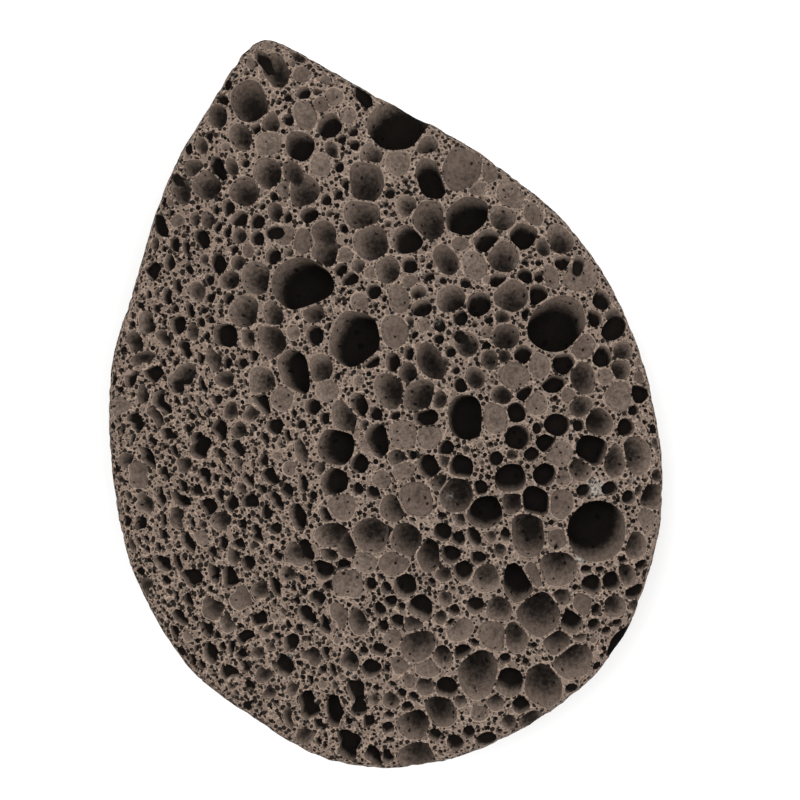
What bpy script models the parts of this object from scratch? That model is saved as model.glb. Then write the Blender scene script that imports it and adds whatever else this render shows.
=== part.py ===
"""Pumice foot stone: a teardrop slab of dark lava, full of open gas bubbles.

Both faces are sawn flat and the edge between them is tumbled round. The stone
lies on its underside with its narrow tip towards +Y. Metres, +Z up, origin at
the middle of the underside.
"""

import math
import random
from collections import namedtuple

import bmesh
import bpy
from mathutils import Vector

MM = 0.001

# Driving dimensions.
STONE_LENGTH = 100.0 * MM
STONE_WIDTH = 74.0 * MM
STONE_THICKNESS = 25.0 * MM
EDGE_ROUNDING = 2.0 * MM

# The teardrop outline in millimetres, from the tip down the left side, around
# the belly and up the right side. A smooth closed curve runs through it.
OUTLINE_MM = (
    (2.3, 50.0), (-1.6, 49.5), (-8.0, 44.2), (-16.5, 36.2), (-25.5, 23.5),
    (-31.9, 13.3), (-35.6, 0.5), (-37.0, -12.3), (-34.4, -26.0), (-28.4, -35.6),
    (-19.0, -45.7), (-6.3, -50.0), (7.3, -49.0), (19.9, -44.1), (29.3, -34.0),
    (35.4, -20.4), (36.8, -3.2), (33.5, 12.5), (24.7, 26.6), (13.0, 39.1), (6.3, 46.4),
)
CURVE_STEPS = 12
OUTLINE_SIDES = 72
ROUNDING_STEPS = 3

# How deep a bubble is, as a share of the smaller width of its opening.
SHALLOW = 0.27
BOWL = 0.42
DEEP = 0.62

# The large bubbles that the saw opened on the upper face, in millimetres:
# place along X and Y, width, length, turn in degrees, depth.
UPPER_BUBBLES_MM = (
    # The narrow end.
    (1.7, 45.6, 3.0, 6.2, 5, DEEP), (-2.9, 42.2, 3.6, 5.0, 5, BOWL),
    (3.7, 38.2, 2.5, 3.6, 5, SHALLOW), (-2.2, 36.2, 2.7, 3.0, 0, SHALLOW),
    (1.8, 34.5, 3.2, 3.8, 12, DEEP), (6.4, 35.9, 3.0, 3.0, 0, DEEP),
    (14.3, 33.0, 5.9, 5.9, 0, DEEP), (0.1, 29.8, 3.0, 5.9, 14, BOWL),
    (-3.5, 32.3, 2.8, 3.6, 5, BOWL), (-7.2, 31.0, 3.0, 3.1, 0, BOWL),
    (-11.6, 33.4, 2.9, 2.9, 0, BOWL), (-5.5, 38.0, 2.4, 3.0, 0, BOWL),
    (8.7, 27.5, 3.4, 4.4, -10, BOWL), (17.3, 25.4, 3.2, 5.6, 0, DEEP),
    (21.6, 25.2, 4.6, 4.4, 0, SHALLOW), (-15.0, 33.4, 2.1, 3.2, -5, BOWL),
    (-19.0, 30.0, 1.7, 4.2, 0, DEEP),
    # Across the middle, right of the centre line.
    (6.9, 23.2, 3.3, 3.3, 15, BOWL), (6.9, 19.3, 3.4, 3.8, 0, BOWL),
    (11.6, 18.3, 3.4, 3.4, 0, DEEP), (7.9, 15.1, 2.6, 3.0, 10, BOWL),
    (15.3, 20.2, 3.2, 4.2, 0, BOWL), (20.3, 19.0, 5.4, 3.9, 15, DEEP),
    (26.4, 19.9, 2.6, 3.5, 0, SHALLOW), (24.7, 17.1, 2.4, 2.4, 0, BOWL),
    (21.8, 14.9, 3.1, 2.7, 0, DEEP), (26.5, 14.0, 3.2, 3.0, 0, DEEP),
    (31.0, 12.3, 2.6, 3.2, 0, BOWL), (15.8, 14.2, 2.4, 3.4, 10, BOWL),
    (19.2, 11.9, 2.5, 2.7, 0, SHALLOW), (23.2, 11.2, 3.0, 3.2, 0, BOWL),
    (15.0, 8.9, 3.0, 2.7, 0, BOWL), (18.3, 6.9, 2.9, 2.8, 0, DEEP),
    (22.6, 6.6, 3.7, 3.4, 0, BOWL), (26.3, 7.4, 2.3, 2.8, 0, DEEP),
    (31.7, 7.4, 3.6, 3.0, 0, SHALLOW), (27.3, 1.5, 7.4, 6.6, 0, DEEP),
    (33.7, 1.7, 2.2, 3.0, 0, DEEP), (20.2, 2.0, 3.0, 2.9, 0, BOWL),
    (15.0, 2.6, 2.5, 2.6, 0, BOWL), (8.2, 10.9, 2.3, 3.0, 0, SHALLOW),
    (6.4, 7.1, 3.0, 3.2, 0, SHALLOW), (9.9, 2.4, 2.5, 4.8, 8, BOWL),
    (11.9, -6.4, 4.1, 5.4, 0, DEEP), (7.0, -1.9, 3.4, 3.0, 10, BOWL),
    (3.3, 0.2, 2.8, 3.8, 0, BOWL), (19.8, -2.9, 3.3, 3.0, 0, SHALLOW),
    (23.8, -5.5, 3.0, 2.2, -5, DEEP), (27.3, -5.6, 2.6, 2.7, 0, DEEP),
    (33.0, -4.6, 3.2, 2.6, 25, DEEP), (15.7, -7.8, 2.8, 3.2, 0, SHALLOW),
    # Across the middle, left of the centre line.
    (-3.5, 17.0, 7.6, 6.3, -20, DEEP), (1.0, 7.9, 6.1, 6.7, -15, DEEP),
    (0.9, 22.0, 2.9, 4.6, -12, BOWL), (-9.5, 19.6, 3.1, 3.6, 10, BOWL),
    (-9.8, 11.3, 2.7, 4.0, 12, BOWL), (-7.6, 5.3, 2.9, 5.6, 5, DEEP),
    (-12.2, 15.8, 2.5, 3.4, 0, BOWL), (-12.6, 6.2, 2.6, 3.2, 15, BOWL),
    (-16.0, 12.9, 2.8, 3.1, 10, DEEP), (-20.9, 16.7, 1.9, 2.9, 5, DEEP),
    (-24.8, 18.2, 2.2, 2.6, -10, BOWL), (-21.1, 21.2, 1.7, 2.9, -10, DEEP),
    (-26.2, 7.0, 1.9, 3.4, 25, DEEP), (-23.0, 0.5, 2.4, 3.3, 5, DEEP),
    (-30.1, 0.8, 1.8, 5.2, 12, DEEP), (-27.2, -5.0, 1.8, 3.6, 30, DEEP),
    (-24.0, -8.8, 2.4, 3.2, 20, DEEP), (-17.8, 7.9, 2.6, 2.0, -20, BOWL),
    (-19.6, 1.5, 1.7, 3.2, 0, DEEP), (-5.7, -5.2, 4.1, 4.5, 10, DEEP),
    (-0.3, -6.1, 2.8, 4.2, 5, DEEP), (-7.8, -10.2, 3.0, 3.2, -15, DEEP),
    # The belly, right of the centre line.
    (5.2, -11.8, 2.6, 3.4, 5, DEEP), (9.4, -12.8, 2.8, 2.9, 0, DEEP),
    (2.0, -15.3, 3.1, 3.7, 0, SHALLOW), (7.3, -16.8, 3.3, 3.5, 0, BOWL),
    (15.0, -16.0, 3.5, 3.4, 0, DEEP), (11.3, -20.1, 3.9, 3.6, 0, DEEP),
    (17.7, -11.5, 2.9, 3.0, 0, DEEP), (21.9, -11.7, 3.4, 2.7, -10, DEEP),
    (26.5, -15.7, 3.7, 3.7, 0, BOWL), (20.0, -16.5, 3.0, 2.7, 15, DEEP),
    (28.4, -11.4, 2.7, 2.7, 0, BOWL), (32.0, -17.7, 2.8, 4.0, -5, BOWL),
    (17.7, -20.7, 3.3, 3.6, 20, DEEP), (14.5, -25.3, 3.3, 4.3, -5, BOWL),
    (23.9, -26.2, 6.9, 7.2, 0, DEEP), (31.6, -23.9, 2.8, 2.8, 0, BOWL),
    (11.0, -30.4, 3.3, 4.9, 0, DEEP), (8.4, -26.2, 2.9, 2.7, 0, BOWL),
    (17.6, -31.0, 3.4, 3.2, 0, BOWL), (14.1, -35.2, 3.7, 4.0, 0, BOWL),
    (22.0, -33.3, 2.7, 2.6, 0, DEEP), (9.2, -36.6, 2.5, 3.2, 0, BOWL),
    (17.8, -38.0, 2.6, 2.5, 0, DEEP), (6.7, -42.1, 3.4, 3.4, 0, DEEP),
    (11.5, -43.2, 3.5, 4.0, -10, BOWL), (16.8, -42.3, 3.7, 2.9, 25, BOWL),
    (23.0, -37.5, 2.4, 2.4, 0, BOWL), (28.2, -31.1, 2.2, 3.0, -20, BOWL),
    # The belly, left of the centre line.
    (-5.0, -18.0, 3.8, 3.6, 0, BOWL), (-0.6, -21.2, 3.0, 3.8, 5, BOWL),
    (-9.9, -17.5, 2.9, 3.0, -15, BOWL), (-9.8, -23.0, 3.6, 3.2, 0, SHALLOW),
    (4.3, -23.1, 2.5, 2.5, 0, DEEP), (-3.2, -26.4, 2.8, 3.0, 0, DEEP),
    (-0.3, -30.3, 3.0, 3.1, 10, DEEP), (-3.3, -34.4, 3.8, 3.3, 0, BOWL),
    (3.3, -39.0, 3.4, 5.0, -20, BOWL), (-1.5, -40.0, 2.7, 2.7, 0, DEEP),
    (-3.0, -44.4, 3.2, 3.2, 20, BOWL), (-7.3, -43.2, 3.5, 2.9, 15, BOWL),
    (-13.8, -14.0, 1.9, 3.6, 5, DEEP), (-13.9, -20.9, 2.0, 3.2, 25, DEEP),
    (-19.2, -12.9, 1.7, 3.0, 5, DEEP), (-28.3, -11.3, 1.8, 3.3, 15, DEEP),
    (-24.3, -17.5, 2.1, 2.8, 0, DEEP), (-32.2, -13.4, 1.8, 2.9, 20, DEEP),
    (-27.9, -21.2, 2.1, 2.8, 0, BOWL), (-19.0, -20.2, 1.6, 4.0, 3, DEEP),
    (-16.3, -25.9, 1.9, 2.8, 15, DEEP), (-29.6, -26.4, 1.9, 2.8, 0, DEEP),
    (-19.8, -35.9, 2.3, 3.4, -10, DEEP), (-16.2, -41.2, 2.2, 4.4, -12, DEEP),
    (-12.6, -36.4, 1.9, 3.4, -5, DEEP), (-24.4, -32.3, 2.2, 2.0, 0, DEEP),
)

# Bubbles on the underside and the side wall are strewn without a pattern.
STREWING_SEED = 11
STREWN_TRIES = 6000
UNDERSIDE_COUNT = 50
UNDERSIDE_WIDTHS = (2.6 * MM, 6.8 * MM)
RESTING_SPOT = 8.0 * MM
SIDE_COUNT = 62
SIDE_WIDTHS = (2.3 * MM, 5.2 * MM)
SIDE_BAND = (4.5 * MM, 20.5 * MM)
BUBBLE_WALL = 0.5 * MM

# A bubble's middle stands this share of its depth outside the surface.
LIFT = 0.07
# Facets around a bubble and the rings between its floor and its lid, as angles
# from the inward axis in degrees, for mean widths up to each limit.
COARSE_RINGS = (50.0, 112.0)
FINE_RINGS = (38.0, 68.0, 112.0)
FACETING = (
    (3.2 * MM, 7, COARSE_RINGS),
    (4.4 * MM, 8, COARSE_RINGS),
    (5.8 * MM, 10, FINE_RINGS),
    (9.0 * MM, 12, FINE_RINGS),
)
UNEVENNESS = 0.05

STONE_COLOUR = (0.19, 0.15, 0.125, 1.0)
STONE_ROUGHNESS = 0.95

# The middle of a bubble and its three half axes: two in the surface, one inward.
Bubble = namedtuple("Bubble", "middle across along inward")


def clear_scene():
    """Remove whatever objects the file starts with."""
    for item in list(bpy.data.objects):
        bpy.data.objects.remove(item, do_unlink=True)


def curve_point(before, start, end, after, share):
    """Return the point of a Catmull-Rom curve at a share of the way to end."""
    slope = end - before
    bend = before * 2 - start * 5 + end * 4 - after
    twist = (start - end) * 3 + after - before
    return start + (slope * share + bend * share ** 2 + twist * share ** 3) / 2


def dense_outline():
    """Return the smooth outline as many closely spaced points."""
    knots = [Vector(point) * MM for point in OUTLINE_MM]
    count = len(knots)
    points = []
    for index in range(count):
        span = [knots[(index + step) % count] for step in (-1, 0, 1, 2)]
        points += [curve_point(*span, step / CURVE_STEPS) for step in range(CURVE_STEPS)]
    return points


def fitted(points):
    """Centre the outline on the origin at the stone's exact width and length."""
    lows = Vector([min(point[axis] for point in points) for axis in (0, 1)])
    highs = Vector([max(point[axis] for point in points) for axis in (0, 1)])
    middle = (lows + highs) / 2
    scale_x = STONE_WIDTH / (highs.x - lows.x)
    scale_y = STONE_LENGTH / (highs.y - lows.y)
    moved = [point - middle for point in points]
    return [Vector((point.x * scale_x, point.y * scale_y)) for point in moved]


def evenly_spaced(points, count):
    """Return count points at equal distances along a closed run of points."""
    closed = points + points[:1]
    lengths = [(end - start).length for start, end in zip(closed, closed[1:])]
    spacing = sum(lengths) / count
    result = []
    walked = 0.0
    for start, end, length in zip(closed, closed[1:], lengths):
        while len(result) * spacing < walked + length and len(result) < count:
            share = (len(result) * spacing - walked) / length
            result.append(start.lerp(end, share))
        walked += length
    return result


def outward_normals(outline):
    """Return the outward direction at each point of the outline."""
    count = len(outline)
    normals = []
    for index in range(count):
        along = outline[(index + 1) % count] - outline[index - 1]
        normals.append(Vector((along.y, -along.x)).normalized())
    return normals


def rounding_profile():
    """Return (inset, height) pairs up the stone's edge, from underside to upper face."""
    angles = [math.pi / 2 * step / ROUNDING_STEPS for step in range(ROUNDING_STEPS + 1)]
    lower = [(EDGE_ROUNDING * (1 - math.sin(a)), EDGE_ROUNDING * (1 - math.cos(a))) for a in angles]
    upper = [(inset, STONE_THICKNESS - height) for inset, height in reversed(lower)]
    return lower + upper


def slab_object(outline, normals):
    """Make the plain slab with its rounded edge."""
    mesh = bmesh.new()
    rings = []
    for inset, height in rounding_profile():
        edge = [point - normal * inset for point, normal in zip(outline, normals)]
        rings.append([mesh.verts.new((point.x, point.y, height)) for point in edge])
    for lower, upper in zip(rings, rings[1:]):
        for index in range(len(outline)):
            following = (index + 1) % len(outline)
            mesh.faces.new((lower[index], lower[following], upper[following], upper[index]))
    mesh.faces.new(reversed(rings[0]))
    mesh.faces.new(rings[-1])
    return finished_object("pumice_stone", mesh)


def finished_object(name, mesh):
    """Turn a bmesh into an object of the scene."""
    data = bpy.data.meshes.new(name)
    mesh.to_mesh(data)
    mesh.free()
    item = bpy.data.objects.new(name, data)
    bpy.context.scene.collection.objects.link(item)
    return item


def upper_bubbles():
    """Return the bubbles that the saw opened on the upper face."""
    bubbles = []
    for x, y, width, length, turn, depth_share in UPPER_BUBBLES_MM:
        depth = depth_share * min(width, length) * MM
        angle = math.radians(turn)
        bubbles.append(Bubble(
            middle=Vector((x * MM, y * MM, STONE_THICKNESS + LIFT * depth)),
            across=Vector((math.cos(angle), math.sin(angle), 0)) * (width * MM / 2),
            along=Vector((-math.sin(angle), math.cos(angle), 0)) * (length * MM / 2),
            inward=Vector((0, 0, -depth)),
        ))
    return bubbles


def reach(bubble, direction):
    """Return how far a bubble reaches from its middle in a direction."""
    axes = (bubble.across, bubble.along, bubble.inward)
    return 1 / math.sqrt(sum((direction.dot(axis) / axis.length_squared) ** 2 for axis in axes))


def stands_clear(bubble, others):
    """Say whether a wall of rock is left between a bubble and all others."""
    for other in others:
        apart = other.middle - bubble.middle
        direction = apart.normalized()
        if apart.length < reach(bubble, direction) + reach(other, direction) + BUBBLE_WALL:
            return False
    return True


def inside(point, outline, normals, margin):
    """Say whether a point of the plane lies inside the outline by a margin."""
    return all((edge - point).dot(normal) > margin for edge, normal in zip(outline, normals))


def underside_bubble(chance, outline, normals):
    """Return a bubble at a chance place of the underside, or None where none may be."""
    width = chance.triangular(*UNDERSIDE_WIDTHS, UNDERSIDE_WIDTHS[0])
    length = width * chance.uniform(0.9, 1.3)
    angle = chance.uniform(0, math.pi)
    depth = width * chance.uniform(SHALLOW, DEEP)
    half_x = STONE_WIDTH / 2
    half_y = STONE_LENGTH / 2
    place = Vector((chance.uniform(-half_x, half_x), chance.uniform(-half_y, half_y)))
    margin = length / 2 + EDGE_ROUNDING + BUBBLE_WALL
    if place.length < RESTING_SPOT + length / 2:
        return None
    if not inside(place, outline, normals, margin):
        return None
    return Bubble(
        middle=Vector((place.x, place.y, -LIFT * depth)),
        across=Vector((math.cos(angle), math.sin(angle), 0)) * (width / 2),
        along=Vector((-math.sin(angle), math.cos(angle), 0)) * (length / 2),
        inward=Vector((0, 0, depth)),
    )


def side_bubble(chance, outline, normals):
    """Return a bubble at a chance place of the side wall."""
    station = chance.randrange(len(outline))
    normal = normals[station].to_3d()
    width = chance.triangular(*SIDE_WIDTHS, SIDE_WIDTHS[0])
    depth = width * chance.uniform(SHALLOW, BOWL)
    height = chance.uniform(*SIDE_BAND)
    foot = outline[station].to_3d() + Vector((0, 0, height))
    return Bubble(
        middle=foot + normal * (LIFT * depth),
        across=normal.cross(Vector((0, 0, 1))) * (width / 2),
        along=Vector((0, 0, width / 2)),
        inward=normal * -depth,
    )


def strewn_bubbles(make_bubble, count, chance, outline, normals, kept):
    """Strew bubbles that keep clear of each other and of those already kept."""
    fresh = []
    for _ in range(STREWN_TRIES):
        bubble = make_bubble(chance, outline, normals)
        if bubble and stands_clear(bubble, kept + fresh):
            fresh.append(bubble)
        if len(fresh) == count:
            break
    return fresh


def faceting(bubble):
    """Return how many facets a bubble has around it, and the angles of its rings."""
    width = bubble.across.length + bubble.along.length
    return next((facets, angles) for limit, facets, angles in FACETING if width <= limit)


def add_bubble(mesh, bubble, chance):
    """Add one closed faceted bubble to the cutter."""
    facets, ring_angles = faceting(bubble)
    start = chance.uniform(0, math.tau)
    swell = [1 + chance.uniform(-UNEVENNESS, UNEVENNESS) for _ in range(facets)]
    rings = []
    for polar in map(math.radians, ring_angles):
        centre = bubble.middle + bubble.inward * math.cos(polar)
        ring = []
        for facet in range(facets):
            around = start + math.tau * facet / facets
            spoke = bubble.across * math.cos(around) + bubble.along * math.sin(around)
            ring.append(mesh.verts.new(centre + spoke * (math.sin(polar) * swell[facet])))
        rings.append(ring)
    floor = mesh.verts.new(bubble.middle + bubble.inward)
    lid = mesh.verts.new(bubble.middle - bubble.inward)
    faces = []
    for facet in range(facets):
        following = (facet + 1) % facets
        faces.append((floor, rings[0][following], rings[0][facet]))
        faces.append((lid, rings[-1][facet], rings[-1][following]))
        for near, far in zip(rings, rings[1:]):
            faces.append((near[facet], near[following], far[following], far[facet]))
    for corners in faces:
        mesh.faces.new(corners)


def cutter_object(bubbles, chance):
    """Join all bubbles into the one body that is cut out of the slab."""
    mesh = bmesh.new()
    for bubble in bubbles:
        add_bubble(mesh, bubble, chance)
    bmesh.ops.recalc_face_normals(mesh, faces=mesh.faces)
    cutter = finished_object("bubble_cutter", mesh)
    cutter.hide_render = True
    cutter.display_type = "WIRE"
    return cutter


def cut_bubbles(slab, cutter):
    """Open the bubbles in the slab."""
    cut = slab.modifiers.new("open_bubbles", "BOOLEAN")
    cut.operation = "DIFFERENCE"
    cut.solver = "EXACT"
    cut.object = cutter


def stone_material():
    """Return the dull dark brown-grey of porous lava."""
    material = bpy.data.materials.new("lava")
    material.use_nodes = True
    shader = material.node_tree.nodes["Principled BSDF"]
    shader.inputs["Base Color"].default_value = STONE_COLOUR
    shader.inputs["Roughness"].default_value = STONE_ROUGHNESS
    return material


def main():
    """Build the stone."""
    clear_scene()
    chance = random.Random(STREWING_SEED)
    outline = fitted(evenly_spaced(dense_outline(), OUTLINE_SIDES))
    normals = outward_normals(outline)
    upper = upper_bubbles()
    below = strewn_bubbles(underside_bubble, UNDERSIDE_COUNT, chance, outline, normals, upper)
    around = strewn_bubbles(side_bubble, SIDE_COUNT, chance, outline, normals, upper + below)
    slab = slab_object(outline, normals)
    cut_bubbles(slab, cutter_object(upper + below + around, chance))
    slab.data.materials.append(stone_material())


main()
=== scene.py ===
"""Pumice foot stone, dressed for its looks: a teardrop slab of dark lava foam.

Both faces are sawn flat through gas bubbles of every size, and the edge between
them is tumbled round. The stone is one closed mesh: a plain blank, from which the
bubbles are cut one family after another, largest first. Metres, +Z up.
"""
import logging
import math
from dataclasses import dataclass, field
from enum import Enum

import bpy
import numpy as np
from mathutils import Matrix, Vector, noise


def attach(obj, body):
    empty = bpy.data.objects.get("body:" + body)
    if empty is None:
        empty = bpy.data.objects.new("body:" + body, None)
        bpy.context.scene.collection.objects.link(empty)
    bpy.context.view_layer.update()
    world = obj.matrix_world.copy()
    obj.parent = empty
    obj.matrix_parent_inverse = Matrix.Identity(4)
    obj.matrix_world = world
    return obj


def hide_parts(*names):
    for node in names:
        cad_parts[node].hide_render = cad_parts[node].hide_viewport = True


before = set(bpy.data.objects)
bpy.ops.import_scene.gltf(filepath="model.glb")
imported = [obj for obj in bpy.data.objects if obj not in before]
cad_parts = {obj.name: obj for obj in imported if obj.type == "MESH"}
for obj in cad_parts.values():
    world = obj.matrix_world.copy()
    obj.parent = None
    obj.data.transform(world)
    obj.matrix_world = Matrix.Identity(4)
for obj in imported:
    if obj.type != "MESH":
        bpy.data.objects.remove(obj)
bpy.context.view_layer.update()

MM = 0.001
LOG = logging.getLogger("pumice")

# The UV layout shows the whole skin unrolled at true size, on a square sheet in millimetres.
LAYOUT = "OFBake"
LAYOUT_SIZE_MM = 160.0


class Caught(Enum):
    """How the saw caught a bubble: how far its middle stands above the face.

    The value is a share of the half width of the mouth, so a negative one means a
    bubble that widens below its mouth.
    """

    SHALLOW = 0.80
    BOWL = 0.15
    DEEP = -0.45


class Side(Enum):
    """Where on the stone a bubble opens."""

    EDGE = "rounded edge"
    UPPER = "upper face"
    WALL = "side wall"
    UNDERSIDE = "underside"


S, B, D = Caught.SHALLOW, Caught.BOWL, Caught.DEEP

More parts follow.
